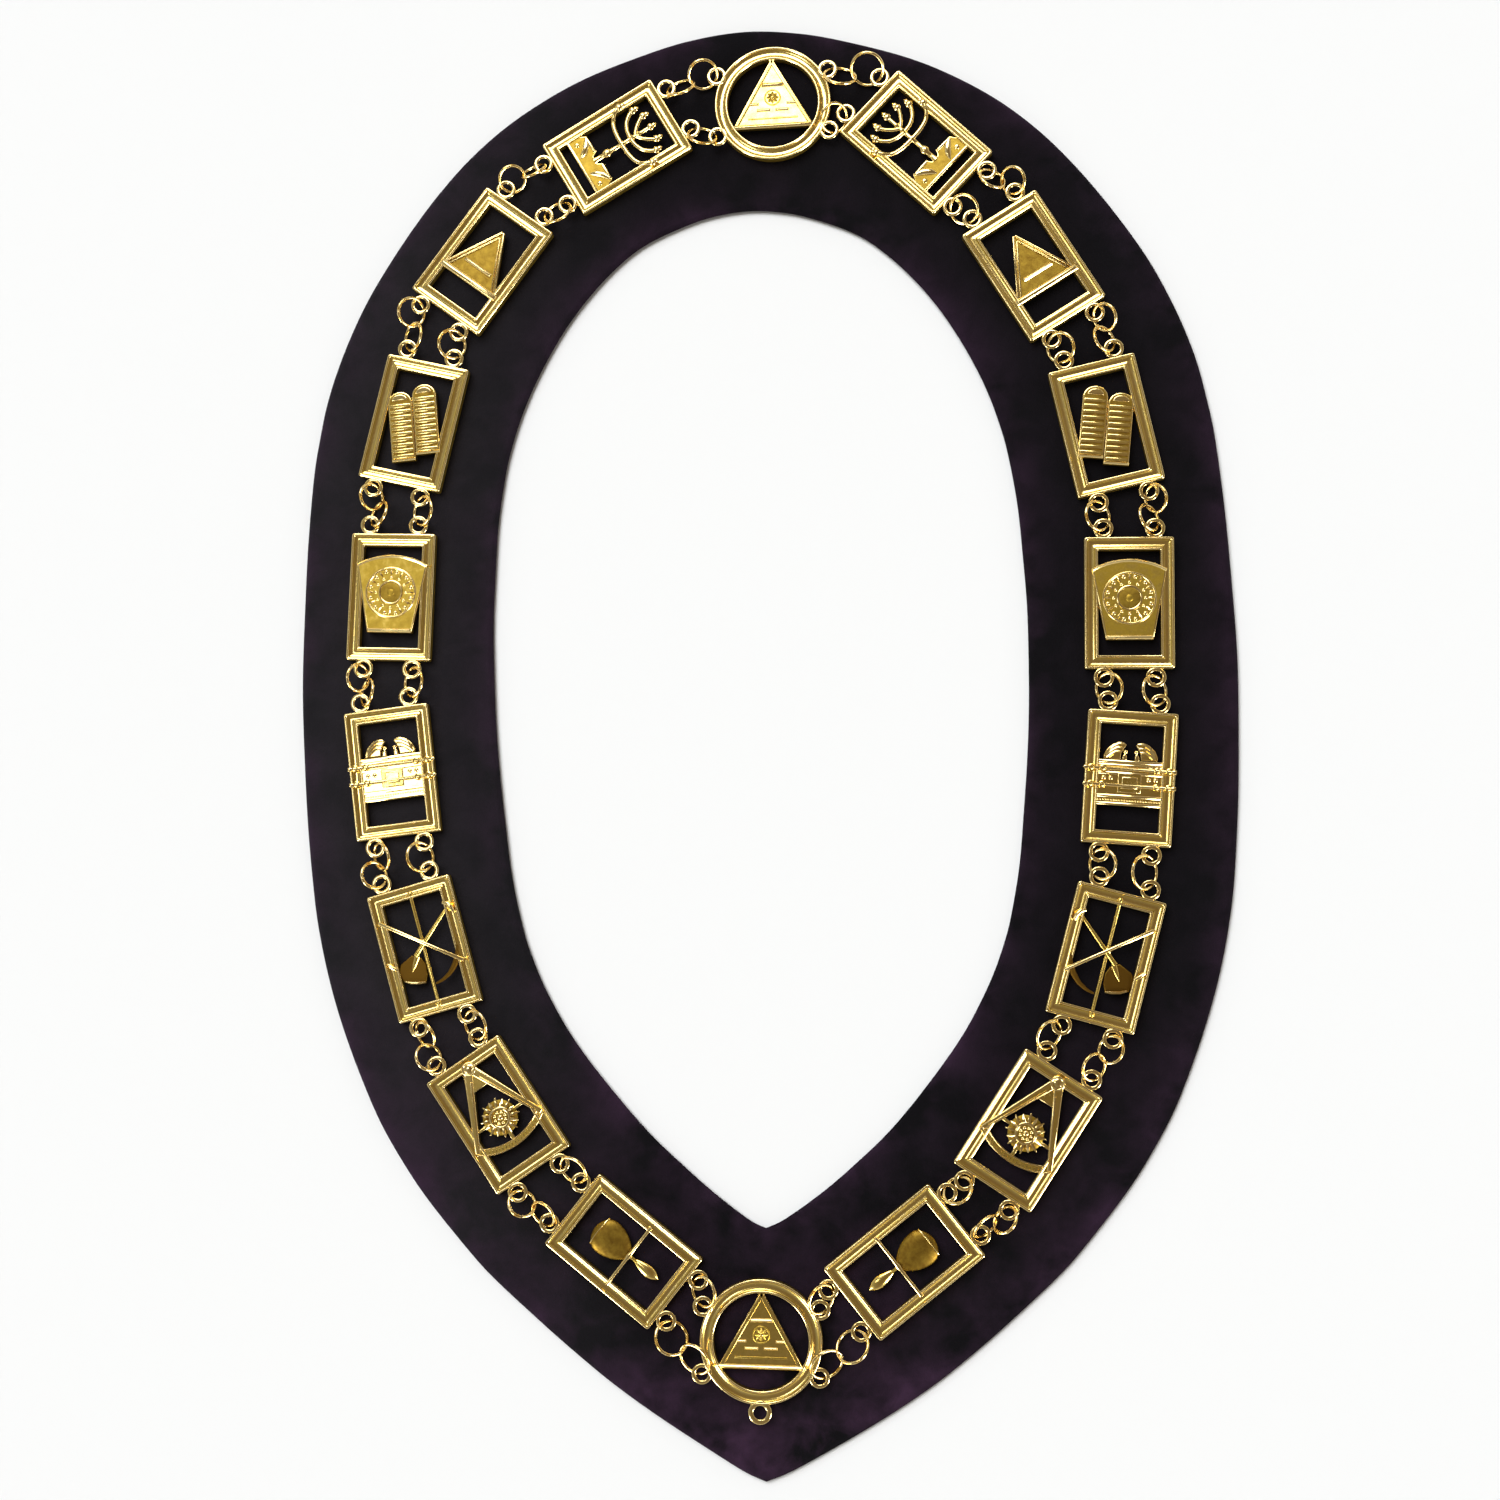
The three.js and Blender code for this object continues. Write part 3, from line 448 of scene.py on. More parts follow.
def tools(S):
    # the bar along the plate, a pick and a shovel
    turned_rod(S, (0, -20.4), (0, 20.4), [(0, 0.5), (0.01, 0.9), (0.03, 0.95), (0.05, 0.62), (0.5, 0.66), (0.95, 0.62), (0.97, 0.95), (0.99, 0.9), (1, 0.5)], z=4.65, flat=0.8, wear=0.35)
    turned_rod(S, (-13.0, 12.7), (12.4, -7.5), [(0, 0.4), (0.015, 0.75), (0.5, 0.62), (0.985, 0.75), (1, 0.4)], z=5.45, flat=0.8, wear=0.0)
    turned_rod(S, (12.0, 12.2), (-3.6, -1.6), [(0, 0.5), (0.5, 0.7), (1, 0.85)], z=4.75, flat=0.75, wear=0.4)
    blade = [(-2.0, -2.6), (-5.0, -0.9), (-9.6, -3.0), (-10.9, -5.9), (-9.9, -9.2), (-6.8, -10.7), (-2.6, -11.6), (-1.2, -8.6), (-0.9, -5.2)]
    prism(S, blade, E0 + 0.1, 4.3, 0.4, steps=4, wear=(1.0, 0.9, 1.2))
    turned_rod(S, (-3.2, -1.9), (-6.2, -6.6), [(0, 1.1), (0.5, 0.8), (1, 0.15)], z=4.4, flat=0.6, wear=0.3)
    tube(S, [(-9.4, -9.0, 4.75), (-7.2, -10.2, 4.9), (-4.6, -10.9, 4.9), (-2.4, -11.2, 4.75)], [0.3, 0.5, 0.5, 0.3], n=8, wear=0.0)
    tube(S, [(13.2, 9.4, 5.4), (12.8, 11.2, 5.45), (11.9, 12.8, 5.3), (10.2, 13.6, 4.9)], [0.55, 0.8, 0.8, 0.5], n=10, wear=0.0)
    tube(S, [(-13.6, -1.8, 5.3), (-12.2, -3.4, 5.35), (-10.6, -4.9, 5.1)], [0.4, 0.7, 0.4], n=10, wear=0.0)
    k = np.array([(0.9, -12.6), (3.6, -12.0), (6.6, -10.4), (9.0, -8.0), (10.6, -5.0), (11.6, -1.8)])
    u = np.linspace(0, 5, 14)
    p = np.stack([np.interp(u, range(6), k[:, c]) for c in range(2)], 1)
    tube(S, np.c_[p, 4.75 + 0.6 * np.clip((p[:, 0] - 9.0) / 2, 0, 1)], np.interp(np.linspace(0, 1, 14), [0, 0.6, 1], [0.35, 1.05, 0.4]), n=10, flat=0.7, wear=1.0)
    boss(S, 0, 2.2, 1.3, 4.6, 0.7, 14, wear=0.1)


def dividers(S):
    for sgn in (-1, 1):
        strip(S, [(0.7 * sgn, 17.9), (13.1 * sgn, -7.6)], [3.3, 1.9], E0 + 0.2, 5.45, 0.6, steps=4, wear=(0.9, 0.0, 0.2))
        strip(S, [(1.7 * sgn, 14.2), (11.8 * sgn, -5.8)], [0.7, 0.5], E0 + 0.8, 5.62, 0.2, steps=2, wear=(0.9, 0, 0))
    prism(S, [(-3.4, 10.6), (3.4, 10.6), (1.6, 19.2), (-1.6, 19.2)], E0, 5.2, 0.3, wear=(0.9, 0.0, 0.3))
    for r, w, z, wr in ((22.4, 2.5, 5.1, (0.9, 0.0, 0.45)), (21.35, 0.5, 5.35, EDGE), (23.4, 0.5, 5.35, EDGE)):
        strip(S, arc(0, 11.4, r, 234.5, 305.5, 30), w, E0, z, min(0.3, w * 0.4), wear=wr)
    for a in np.linspace(239, 301, 21):
        q = arc(0, 11.4, 21.9, a, a, 1)[0]
        r = arc(0, 11.4, 22.9, a, a, 1)[0]
        strip(S, [q, r], 0.34, E0 + 0.8, 5.28, 0.1, steps=2, wear=EDGE)
    boss(S, 0, 18.3, 2.1, 4.7, 0.9, 18, wear=0.0)
    torus_z(S, 0, 18.3, 2.1, 0.45, 5.2, 0.36, n=24, wear=0.0)
    # the rosette
    cy = -1.3
    lathe_z(S, 0, cy, [(0.1, E0), (6.0, E0), (6.0, 4.55), (5.8, 4.7), (0.1, 4.7)], 40, close=False, wear=0.75)
    for i in range(16):
        a = i * math.pi / 8 + 0.1
        ln = 6.9 if i % 2 else 6.3
        c, s = math.cos(a), math.sin(a)
        p = [(3.3 * c, cy + 3.3 * s, 4.7), (4.8 * c, cy + 4.8 * s, 4.95), (ln * c, cy + ln * s, 4.6)]
        tube(S, p, [0.45, 0.78, 0.2], n=8, flat=0.7, wear=0.0)
    torus_z(S, 0, cy, 3.3, 0.5, 4.9, 0.36, n=32, wear=0.0)
    for i in range(8):
        a = i * math.pi / 4
        boss(S, 1.95 * math.cos(a), cy + 1.95 * math.sin(a), 0.6, 4.75, 0.4, 10, wear=0.0)
    boss(S, 0, cy, 1.0, 4.75, 0.55, 14, wear=0.0)
    strip(S, [(-9.4, cy), (-5.6, cy)], 1.1, E0, 4.6, 0.3, wear=FACE)
    strip(S, [(9.4, cy), (5.6, cy)], 1.1, E0, 4.6, 0.3, wear=FACE)
    strip(S, [(0, -6.6), (0, -10.6)], 1.3, E0, 4.7, 0.3, wear=FACE)


def vessel(S):
    turned_rod(S, (-12.2, -2.4), (12.2, -2.4), [(0, 0.5), (0.012, 0.8), (0.06, 0.62), (0.44, 0.62), (0.5, 1.0), (0.56, 0.62), (0.94, 0.62), (0.988, 0.8), (1, 0.5)], z=5.05, flat=0.85, wear=0.0)
    turned_rod(S, (0, -2.6), (0, 12.6), [(0, 2.0), (0.05, 2.2), (0.1, 3.0), (0.2, 4.1), (0.32, 5.1), (0.45, 5.8), (0.58, 6.15), (0.68, 6.2), (0.77, 5.9), (0.84, 5.3),
                                         (0.9, 4.4), (0.94, 3.4), (0.965, 2.5), (0.985, 1.6), (1, 0.2)], z=4.15, flat=0.3, n=40, wear=0.84)
    p = np.array([(5.35 * math.cos(a), 10.3 + 0.5 * math.sin(a), 4.15 + 0.3 * 5.35 * math.sin(a) + 0.05) for a in np.linspace(0.12, math.pi - 0.12, 19)])
    tube(S, p, 0.22, n=8, flat=1.0, wear=0.1)
    turned_rod(S, (0, -2.8), (0, -6.4), [(0, 0.95), (0.3, 0.55), (1, 0.55)], z=4.3, flat=0.8, wear=0.5)
    turned_rod(S, (0, -4.6), (0, -14.8), [(0, 0.4), (0.08, 0.9), (0.2, 1.35), (0.42, 1.95), (0.62, 2.15), (0.78, 1.8), (0.9, 1.1), (1, 0.1)], z=4.15, flat=0.55, n=20, wear=0.25)


EMBLEMS = [candlestick, triangle, tablets, keystone, chest, tools, dividers, vessel]


def medallion(S, loop):
    wear = [w for _, _, w in MOULDING]
    lathe_z(S, 0, 0, [(MED_R - d, z) for d, z, _ in MOULDING], 96, wear=wear)
    P = [(-14.7, -9.0), (14.7, -9.0), (0, 16.8)]
    prism(S, P, E0, 4.55, 0.2, wear=(0.9, 0.0, 0.28))
    for a, b in ((P[0], P[1]), (P[1], P[2]), (P[2], P[0])):
        a, b = np.array(a), np.array(b)
        m = (a + b) / 2
        inward = -(m - np.array([0, -0.5]))
        inward /= np.linalg.norm(inward)
        if a[1] == b[1]:
            strip(S, [a + inward * 0.8, b + inward * 0.8], 1.5, E0 + 0.2, 5.35, wear=EDGE, roof=(0.68, 0.44))
        else:
            strip(S, [a + inward * 0.8, b + inward * 0.8], 1.4, E0 + 0.2, 5.0, 0.3, wear=(0.9, 0.15, 0.36))
    # a plain rosette and short raised lines in the panel
    for i in range(8):
        a = i * math.pi / 4
        c, s = math.cos(a), math.sin(a)
        p = [(0.7 * c, 2.2 + 0.7 * s, 4.5), (1.4 * c, 2.2 + 1.4 * s, 4.7), (2.2 * c, 2.2 + 2.2 * s, 4.5)]
        tube(S, p, [0.35, 0.6, 0.2], n=8, flat=0.5, wear=0.5)
    boss(S, 0, 2.2, 0.8, 4.55, 0.45, 16, wear=0.35)
    torus_z(S, 0, 2.2, 2.7, 0.3, 4.55, 0.24, n=34, wear=0.5)
    prism(S, rect(-3.9, 6.2, 3.9, 7.6), E0, 5.0, wear=EDGE, roof=(0.62, 0.4))
    for sgn in (-1, 1):
        prism(S, [(sgn * x, y) for x, y in rect(4.9, -0.45, 8.3, 0.55)], E0, 4.9, wear=EDGE, roof=(0.44, 0.3))
        prism(S, [(sgn * x, y) for x, y in rect(0.9, -2.75, 5.6, -1.75)], E0, 4.9, wear=EDGE, roof=(0.44, 0.3))
    prism(S, rect(-8.8, -5.6, 8.8, -4.9), E0, 4.75, 0.15, wear=(0.9, 0.4, 0.45))
    for sx in (-1, 1):
        for sy in (-1, 1):
            eyelet(S, sx * MED_EYE[0], sy * MED_EYE[1])
    if loop:
        eyelet(S, 0, LOOP_Y, 3.95, 2.2, 34)


# ---------------------------------------------------------------- materials
def new_material(name):
    m = bpy.data.materials.new(name)
    m.use_nodes = True
    t = m.node_tree
    t.nodes.clear()
    out = t.nodes.new("ShaderNodeOutputMaterial")
    b = t.nodes.new("ShaderNodeBsdfPrincipled")
    t.links.new(b.outputs[0], out.inputs[0])
    return m, t, b


def noise(t, co, scale, detail=3.0, rough=0.55, distort=0.0):
    n = t.nodes.new("ShaderNodeTexNoise")
    n.inputs["Scale"].default_value = scale
    n.inputs["Detail"].default_value = detail
    n.inputs["Roughness"].default_value = rough
    n.inputs["Distortion"].default_value = distort
    t.links.new(co, n.inputs["Vector"])
    return n.outputs["Fac"]


def ramp(t, fac, stops):
    r = t.nodes.new("ShaderNodeValToRGB")
    e = r.color_ramp.elements
    while len(e) < len(stops):
        e.new(0.5)
    for i, (p, c) in enumerate(stops):
        e[i].position = p
        e[i].color = (*c, 1.0) if len(c) == 3 else c
    t.links.new(fac, r.inputs[0])
    return r.outputs[0]


def math_node(t, op, a, b=None, clamp=False):
    n = t.nodes.new("ShaderNodeMath")
    n.operation = op
    n.use_clamp = clamp
    for i, x in enumerate((a, b)):
        if x is None:
            continue
        if isinstance(x, (int, float)):
            n.inputs[i].default_value = x
        else:
            t.links.new(x, n.inputs[i])
    return n.outputs[0]


def mix_colour(t, fac, a, b, blend="MIX"):
    n = t.nodes.new("ShaderNodeMix")
    n.data_type = "RGBA"
    n.blend_type = blend
    for i, x in ((0, fac), (6, a), (7, b)):
        if isinstance(x, (int, float)):
            n.inputs[i].default_value = x
        elif isinstance(x, tuple):
            n.inputs[i].default_value = (*x, 1.0)
        else:
            t.links.new(x, n.inputs[i])
    return n.outputs[2]


def gilt(name, tones, rough, bump_high, patchy):
    """Gilding: the wear-and-shade value runs from polished (0) over satin (0.5) to a dark tone (1), which stands for
    tarnish and also paints shade in grooves, holes and down the sides.
    """
    m, t, b = new_material(name)
    co = t.nodes.new("ShaderNodeTexCoord").outputs["Object"]
    att = t.nodes.new("ShaderNodeAttribute")
    att.attribute_name = "wear"
    fine = noise(t, co, 1100, 3.0, 0.6)
    broad = noise(t, co, 60, 3.0, 0.5)
    spots = noise(t, co, 380, 4.0, 0.65, 0.3)
    wear = math_node(t, "ADD", att.outputs["Fac"], math_node(t, "MULTIPLY", math_node(t, "SUBTRACT", spots, 0.5), patchy), clamp=True)
    col = ramp(t, wear, [(0.0, tones[0]), (0.25, tones[1]), (0.55, tones[2]), (0.95, tones[3])])
    t.links.new(mix_colour(t, math_node(t, "MULTIPLY", broad, 0.5), col, (0.86, 0.74, 0.46), "MULTIPLY"), b.inputs["Base Color"])
    b.inputs["Metallic"].default_value = 1.0
    r = ramp(t, wear, [(0.0, (rough,) * 3), (0.3, (rough + 0.05,) * 3), (0.6, (0.44,) * 3), (1.0, (0.46,) * 3)])
    t.links.new(math_node(t, "ADD", r, math_node(t, "MULTIPLY", math_node(t, "SUBTRACT", fine, 0.5), 0.12), clamp=True), b.inputs["Roughness"])
    h = math_node(t, "ADD", math_node(t, "MULTIPLY", noise(t, co, 160, 2.0), 1.0), math_node(t, "MULTIPLY", math_node(t, "MULTIPLY", fine, wear), 0.5))
    bump = t.nodes.new("ShaderNodeBump")
    bump.inputs["Strength"].default_value = 0.35
    bump.inputs["Distance"].default_value = bump_high
    t.links.new(h, bump.inputs["Height"])
    t.links.new(bump.outputs[0], b.inputs["Normal"])
    return m


def velvet():
    m, t, b = new_material("velvet")
    co = t.nodes.new("ShaderNodeTexCoord").outputs["Object"]
    sep = t.nodes.new("ShaderNodeSeparateXYZ")
    t.links.new(co, sep.inputs[0])
    sheen_breakup = noise(t, co, 22, 3.0, 0.55, 0.6)
    cloud = noise(t, co, 75, 4.0, 0.6, 0.3)
    pile = noise(t, co, 2600, 2.0, 0.7)
    # painted sheen: towards the point, over the lower part and along the edges the cloth is mixed towards purple,
    # standing in for the velvet's sheen
    low = math_node(t, "MULTIPLY", math_node(t, "SUBTRACT", -0.08, sep.outputs["Y"]), 5.5, clamp=True)
    att = t.nodes.new("ShaderNodeAttribute")
    att.attribute_name = "edge"
    painted_sheen = math_node(t, "ADD", math_node(t, "MULTIPLY", low, 0.55), math_node(t, "MULTIPLY", att.outputs["Fac"], 0.6))
    point = math_node(t, "MULTIPLY", math_node(t, "SUBTRACT", -0.205, sep.outputs["Y"]), 26.0, clamp=True)
    painted_sheen = math_node(t, "ADD", painted_sheen, math_node(t, "MULTIPLY", point, 0.55))
    painted_sheen = math_node(t, "MULTIPLY", painted_sheen, ramp(t, math_node(t, "ADD", math_node(t, "MULTIPLY", sheen_breakup, 0.6), math_node(t, "MULTIPLY", cloud, 0.4)), [(0.42, (0.0,) * 3), (0.62, (1.0,) * 3)]), clamp=True)
    base = ramp(t, cloud, [(0.3, (0.0138, 0.0130, 0.0156)), (0.7, (0.0202, 0.0186, 0.0222))])
    # painted sheen: the cloth right of about x = -0.035 m is darkened, so the left side looks greyer, standing in for
    # the sheen seen there at a more grazing angle
    side = math_node(t, "MULTIPLY", math_node(t, "SUBTRACT", -0.035, sep.outputs["X"]), 11.0, clamp=True)
    col = mix_colour(t, side, mix_colour(t, 1.0, base, (0.285, 0.275, 0.30), "MULTIPLY"), base)
    # the painted purple sheen is mixed into the base colour here
    col = mix_colour(t, painted_sheen, col, (0.044, 0.021, 0.046))
    t.links.new(mix_colour(t, math_node(t, "MULTIPLY", pile, 0.35), col, (0.003, 0.0025, 0.0035)), b.inputs["Base Color"])
    b.inputs["Roughness"].default_value = 0.9
    b.inputs["Specular IOR Level"].default_value = 0.05
    b.inputs["Sheen Weight"].default_value = 0.06
    b.inputs["Sheen Roughness"].default_value = 0.42
    b.inputs["Sheen Tint"].default_value = (0.72, 0.58, 0.86, 1.0)
    h = math_node(t, "ADD", math_node(t, "MULTIPLY", pile, 0.5), math_node(t, "MULTIPLY", noise(t, co, 700, 3.0), 0.6))
    bump = t.nodes.new("ShaderNodeBump")
    bump.inputs["Strength"].default_value = 0.8
    bump.inputs["Distance"].default_value = 0.0005
    t.links.new(h, bump.inputs["Height"])
    t.links.new(bump.outputs[0], b.inputs["Normal"])
    return m


def backing():
    m, t, b = new_material("backing_cloth")
    co = t.nodes.new("ShaderNodeTexCoord").outputs["Object"]
    w = []
    for axis in ("X", "Y"):
        n = t.nodes.new("ShaderNodeTexWave")
        n.bands_direction = axis
        n.inputs["Scale"].default_value = 380
        n.inputs["Distortion"].default_value = 0.6
        t.links.new(co, n.inputs["Vector"])
        w.append(n.outputs["Fac"])
    weave = math_node(t, "MULTIPLY", w[0], w[1])
    t.links.new(ramp(t, weave, [(0.0, (0.006, 0.006, 0.007)), (1.0, (0.02, 0.019, 0.022))]), b.inputs["Base Color"])
    b.inputs["Roughness"].default_value = 0.85
    bump = t.nodes.new("ShaderNodeBump")
    bump.inputs["Strength"].default_value = 0.6
    bump.inputs["Distance"].default_value = 0.0002
    t.links.new(weave, bump.inputs["Height"])
    t.links.new(bump.outputs[0], b.inputs["Normal"])
    return m


TONES = ((0.95, 0.77, 0.37), (0.90, 0.69, 0.22), (0.49, 0.345, 0.052), (0.15, 0.080, 0.012))
WIRE_TONES = ((0.97, 0.77, 0.38), (0.86, 0.60, 0.18), (0.48, 0.24, 0.04), (0.16, 0.06, 0.01))
GOLD = gilt("gilt_cast", TONES, 0.15, 0.000035, 0.5)
# on the wire the strong patches of the dark red-brown tones are painted shade and painted reflection, standing in for
# the dark surroundings the rings reflect
WIRE_GOLD = gilt("gilt_wire", WIRE_TONES, 0.10, 0.00004, 2.4)
VELVET = velvet()
BACKING = backing()


# ---------------------------------------------------------------- velvet collar
def spline_loop(half, count):
    """Even points round the outline, from the point up one side and down the other."""
    pts = np.array([*half, *[(-x, y) for x, y in half[:-1][::-1]]], float)
    p = np.r_[[2 * pts[0] - pts[1]], pts, [2 * pts[-1] - pts[-2]]]
    dense = []
    for i in range(1, len(p) - 2):
        for u in np.linspace(0, 1, 40, endpoint=False):
            a, b, c, d = p[i - 1], p[i], p[i + 1], p[i + 2]
            dense.append(0.5 * ((2 * b) + (c - a) * u + (2 * a - 5 * b + 4 * c - d) * u * u + (3 * b - a - 3 * c + d) * u ** 3))
    dense.append(pts[-1])
    dense = np.array(dense)
    # an even smoothing takes out small steps of the drawn outline, but not its point
    for _ in range(160):
        mid = (dense[:-2] + dense[2:]) / 2
        dense[1:-1] += 0.5 * (mid - dense[1:-1])
    s = np.r_[0, np.cumsum(np.linalg.norm(np.diff(dense, axis=0), axis=1))]
    at = np.linspace(0, s[-1], count + 1)[:-1]
    return np.stack([np.interp(at, s, dense[:, k]) for k in range(2)], 1)


def waves(x, y, seed, scale, k=9):
    r = np.random.default_rng(seed)
    out = np.zeros_like(x)
    for _ in range(k):
        a, f, ph = r.uniform(0, 2 * math.pi), r.uniform(0.6, 1.7) / scale, r.uniform(0, 2 * math.pi)
        out += np.sin((x * math.cos(a) + y * math.sin(a)) * f * 2 * math.pi + ph)
    return out / k


def velvet_collar():
    N, C = 900, 44
    o, i = spline_loop(OUTER, N), spline_loop(INNER, N)
    for loop, y0, dx, dy in ((o, -150.0, -3.8, -2.7), (i, -90.0, -2.0, -0.8)):
        # as it lies, the cloth is a touch wider and its two points are drawn to one side
        k = np.clip((y0 - loop[:, 1]) / (y0 - loop[:, 1].min()), 0, 1)
        loop *= 1.0055 - 0.0055 * (np.clip(k * 1.6, 0, 1)[:, None] if loop is o else 0.0)
        loop[:, 0] += dx * k ** 5
        loop[:, 1] += dy * k ** 8
    i[:, 0] -= 0.9 * np.exp(-((i[:, 1] - 20.0) / 120.0) ** 4) * (i[:, 0] < 0) * np.clip(-i[:, 0] / 60.0, 0, 1)
    # across the band: inner edge, top, outer edge, then the underside
    u = 0.5 - 0.5 * np.cos(np.linspace(0, math.pi, C))
    u = 0.65 * np.linspace(0, 1, C) + 0.35 * u
    width = np.linalg.norm(o - i, axis=1)
    rings, edges = [], []
    for uu in u:
        xy = i + (o - i) * uu
        d = np.minimum(uu, 1 - uu) * width
        e = np.clip(d / 1.1, 0, 1)
        z = 1.0 + 1.0 * np.sqrt(1 - (1 - e) ** 2)
        lift = 0.10 * waves(xy[:, 0], xy[:, 1], 3, 60) + 0.07 * waves(xy[:, 0], xy[:, 1], 5, 14) + 0.05 * waves(xy[:, 0], xy[:, 1], 8, 5)
        z = z + np.clip(lift, -0.18, 0.14) * np.clip(d / 3.0, 0, 1)
        rings.append(np.c_[xy, z])
        # weights for the painted purple sheen along the cloth's edges, stored as the edge attribute
        edges.append(np.exp(-d / 7.0))
    under = []
    for uu in u[::-1]:
        xy = i + (o - i) * uu
        d = np.minimum(uu, 1 - uu) * width
        e = np.clip(d / 1.1, 0, 1)
        under.append(np.c_[xy, 1.0 - 1.0 * np.sqrt(1 - (1 - e) ** 2)])
    under = under[1:-1]
    top_n = len(rings)
    rings += under[::2]
    edges += [np.zeros(N)] * len(under[::2])
    v = np.concatenate(rings)
    faces, mats = [], []
    R = len(rings)
    for k in range(R):
        a, b = k * N, ((k + 1) % R) * N
        under_side = k >= top_n + 1 and k < R - 1
        for j in range(N):
            q = (j + 1) % N
            faces.append((a + j, a + q, b + q, b + j))
            mats.append(1 if under_side else 0)
    ob = make_object("velvet_cloth", v, faces, None, (VELVET, BACKING), mats, angle=80)
    att = ob.data.attributes.new("edge", "FLOAT", "POINT")
    att.data.foreach_set("value", np.concatenate(edges).astype(np.float32))
    area = 0.0
    for loop, sign in ((o, 1), (i, -1)):
        x, y = loop[:, 0], loop[:, 1]
        area += sign * abs((x * np.roll(y, -1) - np.roll(x, -1) * y).sum()) / 2
    return ob, area * 1e-6


cloth, cloth_area = velvet_collar()
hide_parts("velvet_collar")
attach(cloth, "root")


# ---------------------------------------------------------------- metalwork
def place(name, S, node, pose, mirror=False, material=GOLD, tilt=(0.0, 0.0)):
    ob = make_object(name, S.placed(*pose, mirror=mirror, tilt=tilt), S.f, S.w, (material,))
    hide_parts(node)
    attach(ob, "root")
    return ob


TILT = math.radians(0.15)
for i, emblem in enumerate(EMBLEMS):
    for side, poses in (("left", LEFT), ("right", RIGHT)):
        S = Shell()
        frame_moulding(S)
        for sx in (-1, 1):
            for sy in (-1, 1):
                eyelet(S, sx * EYE_X, sy * EYE_Y)
        emblem(S)
        tilt = tuple(float(x) for x in rng.uniform(-TILT, TILT, 2))
        name = f"plate_{side}_{i + 1}_{emblem.__name__}"
        place("cast_" + name, S, name, poses[i], side == "right", tilt=tilt)
for name, pose, loop in (("medallion_nape", TOP_MED, False), ("medallion_front", FRONT_MED, True)):
    S = Shell()
    medallion(S, loop)
    place("cast_" + name, S, name, pose)


def jump_ring(S, radius, x, y, z, polar, azimuth, turn):
    """A wire ring with its small cut."""
    n = np.array([math.sin(polar) * math.cos(azimuth), math.sin(polar) * math.sin(azimuth), math.cos(polar)])
    u = np.array([-math.sin(azimuth), math.cos(azimuth), 0.0])
    v = np.cross(n, u)
    k, w = 46, 10
    gap = 0.14 / radius
    rings = []
    for i, a in enumerate(np.linspace(gap / 2, 2 * math.pi - gap / 2, k)):
        a += turn
        out = math.cos(a) * u + math.sin(a) * v
        c = np.array([x, y, z]) + radius * out
        b = np.arange(w) * 2 * math.pi / w
        rings.append(c + WIRE * (np.cos(b)[:, None] * out + np.sin(b)[:, None] * n))
    S.loft(rings, wear=0.1)


for name, *rings in RINGS:
    S = Shell()
    for r in rings:
        jump_ring(S, *r, float(rng.uniform(0, 2 * math.pi)))
    place("wire_" + name, S, name, (0, 0, 0), material=WIRE_GOLD)

# ---------------------------------------------------------------- floor
floor_mesh = bpy.data.meshes.new("floor")
floor_mesh.from_pydata([(-6, -6, -0.0003), (6, -6, -0.0003), (6, 6, -0.0003), (-6, 6, -0.0003)], [], [(0, 1, 2, 3)])
fm, ft, fb = new_material("studio_floor")
fb.inputs["Base Color"].default_value = (0.838, 0.864, 0.888, 1.0)
fb.inputs["Roughness"].default_value = 0.9
fb.inputs["Specular IOR Level"].default_value = 0.1
floor_mesh.materials.append(fm)
floor = bpy.data.objects.new("floor", floor_mesh)
bpy.context.scene.collection.objects.link(floor)

# ---------------------------------------------------------------- light
scene = bpy.context.scene
world = bpy.data.worlds.new("studio")
scene.world = world
world.use_nodes = True
wt = world.node_tree
wt.nodes.clear()
wo = wt.nodes.new("ShaderNodeOutputWorld")
bg = wt.nodes.new("ShaderNodeBackground")
wt.links.new(bg.outputs[0], wo.inputs[0])
wc = wt.nodes.new("ShaderNodeTexCoord")
ws = wt.nodes.new("ShaderNodeSeparateXYZ")
wt.links.new(wc.outputs["Generated"], ws.inputs[0])
# the room: a pale table and walls low down, a dim ceiling, warm and darker to the right
high = ramp(wt, ws.outputs["Z"], [(0.0, (1.0,) * 3), (0.30, (0.80,) * 3), (0.62, (0.12,) * 3), (1.0, (0.0,) * 3)])
across = math_node(wt, "ADD", math_node(wt, "MULTIPLY", ws.outputs["X"], 0.5), 0.5)
ceiling = ramp(wt, across, [(0.25, (0.24, 0.225, 0.18)), (0.6, (0.17, 0.118, 0.066))])
wt.links.new(mix_colour(wt, high, ceiling, (0.80, 0.79, 0.78)), bg.inputs["Color"])
bg.inputs["Strength"].default_value = 1.0


def soft_box(name, place, size, power, aim=(0, 0, 0)):
    d = bpy.data.lights.new(name, "AREA")
    d.shape = "RECTANGLE"
    d.size, d.size_y = size
    d.energy = power
    o = bpy.data.objects.new(name, d)
    o.location = place
    way = Vector(aim) - Vector(place)
    o.rotation_euler = way.to_track_quat("-Z", "Y").to_euler()
    scene.collection.objects.link(o)
    return o


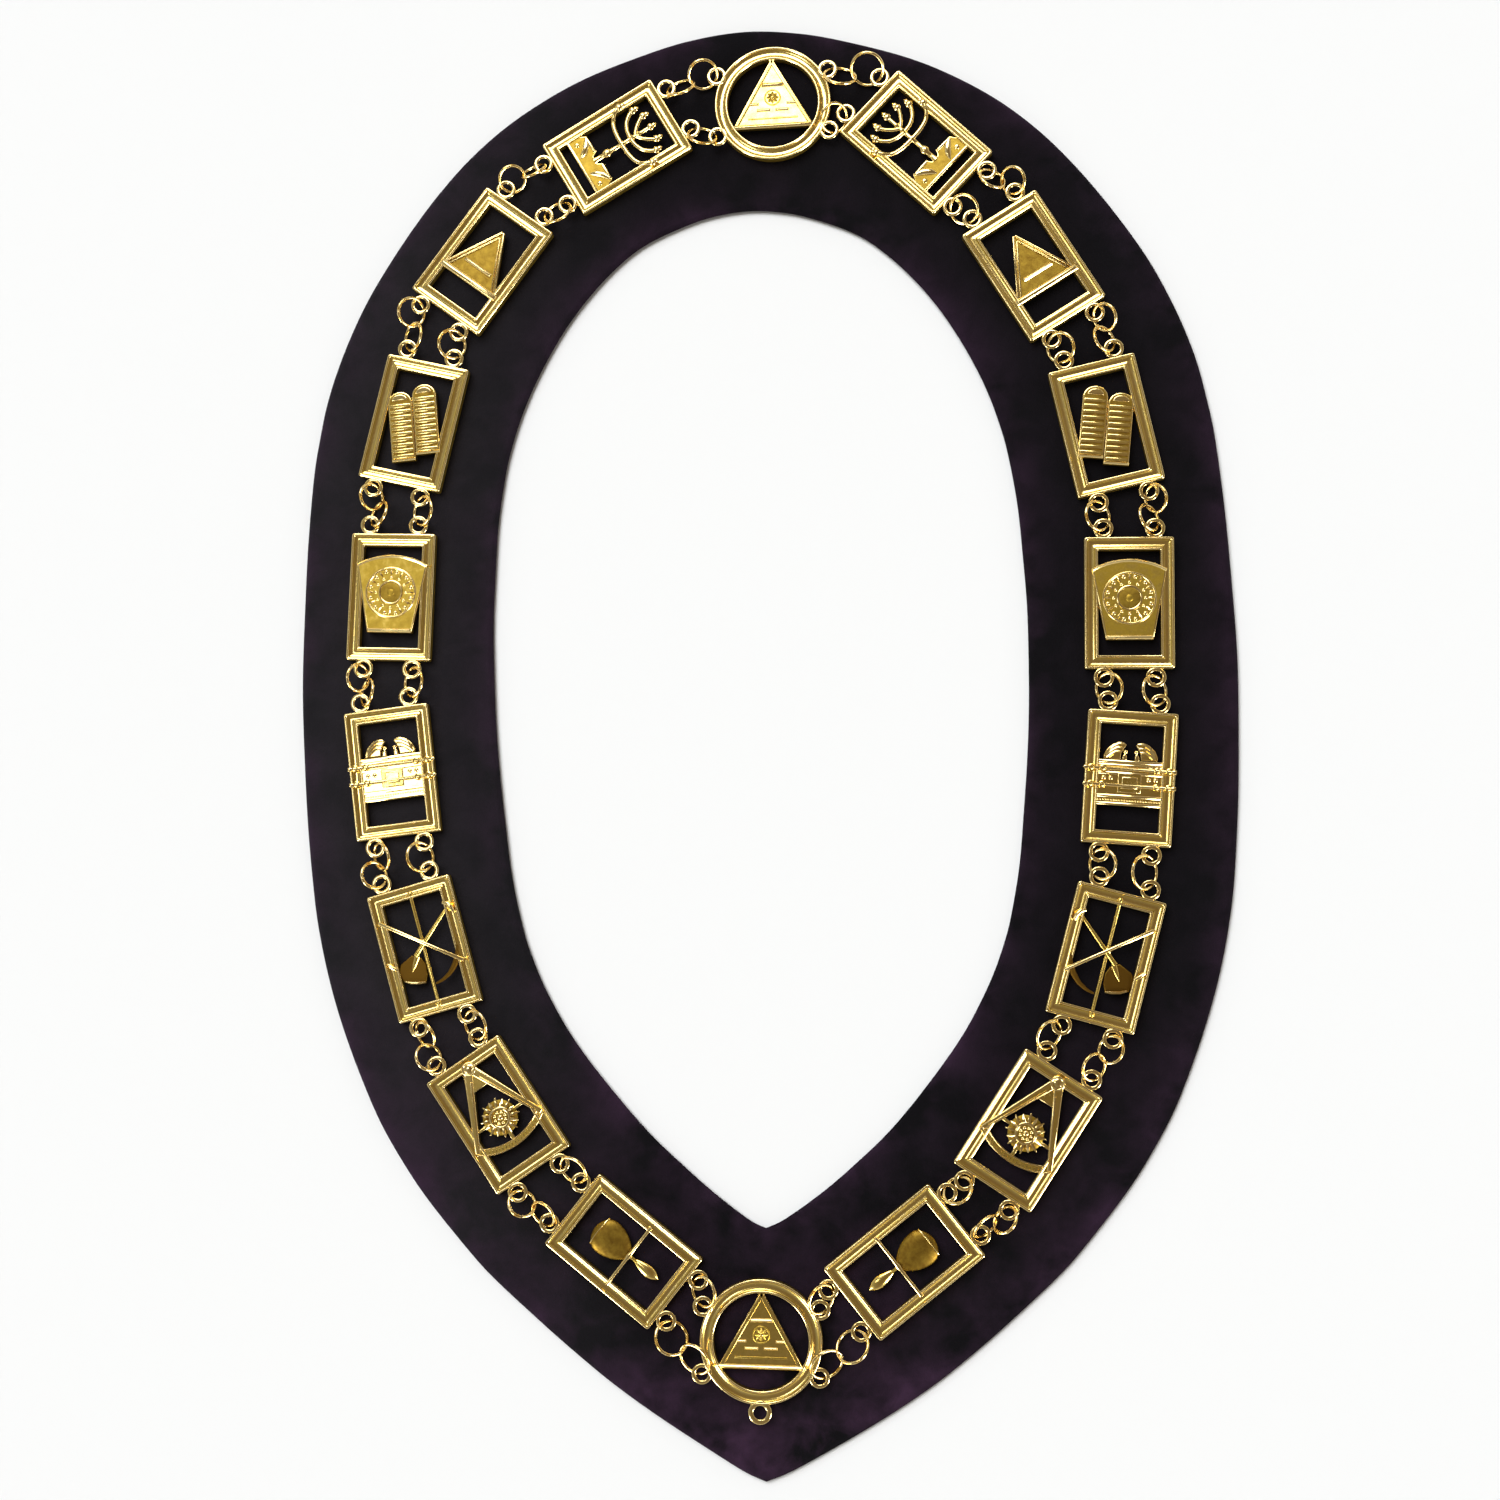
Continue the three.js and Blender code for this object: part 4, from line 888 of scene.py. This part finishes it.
def overhead(name, x0, y0, x1, y1, z, radiance):
    """A level soft box seen from below with that radiance."""
    area = (x1 - x0) * (y1 - y0)
    d = bpy.data.lights.new(name, "AREA")
    d.shape = "RECTANGLE"
    d.size, d.size_y = x1 - x0, y1 - y0
    d.energy = radiance * math.pi * area
    o = bpy.data.objects.new(name, d)
    o.location = ((x0 + x1) / 2, (y0 + y1) / 2, z)
    scene.collection.objects.link(o)
    return o


boxes = [
    overhead("box_north_west", -0.60, 0.66, -0.15, 1.55, 1.0, 9.0),
    overhead("box_north", -0.15, 0.56, 0.03, 1.55, 1.0, 5.8),
    overhead("box_north_east", 0.03, 0.68, 0.30, 1.55, 1.0, 7.0),
    overhead("box_west", -0.56, -0.03, -0.31, 0.16, 1.0, 6.8),
    soft_box("low_south_east", (1.5, -1.3, 0.6), (0.6, 1.8), 60),
    soft_box("low_south_west", (-1.5, -1.5, 0.6), (0.6, 1.6), 40),
]
for box in boxes:
    # these draw the highlights on the metal; the cloth and the table are lit evenly below
    box.visible_diffuse = False
sun_data = bpy.data.lights.new("even_light", "SUN")
sun_data.energy = 3.2
sun_data.angle = math.radians(50)
sun = bpy.data.objects.new("even_light", sun_data)
sun.rotation_euler = (math.radians(-28), math.radians(-24), 0)
sun.visible_glossy = False
scene.collection.objects.link(sun)

# ---------------------------------------------------------------- camera
cam_data = bpy.data.cameras.new("camera")
cam = bpy.data.objects.new("camera", cam_data)
scene.collection.objects.link(cam)
scene.camera = cam
cam_data.sensor_width = 36.0
cam_data.lens = 1968.0 / 1500.0 * 36.0
cam_data.clip_start = 0.01
cam_data.clip_end = 50.0


def axis_turn(axis, degrees):
    return np.array(Matrix.Rotation(math.radians(degrees), 3, axis))


R = axis_turn("Z", -1.26) @ axis_turn("X", -5.45) @ axis_turn("Y", 5.45) @ np.diag([1.0, -1.0, -1.0])
B = R.T @ np.diag([1.0, -1.0, -1.0])
m = np.eye(4)
m[:3, :3] = B
m[:3, 3] = (0.06003, -0.07122, 0.66605 + 0.0048)
cam.matrix_world = Matrix(m.tolist())

scene.view_settings.view_transform = "Standard"
scene.view_settings.look = "None"
scene.view_settings.exposure = 0.0
scene.view_settings.gamma = 1.0
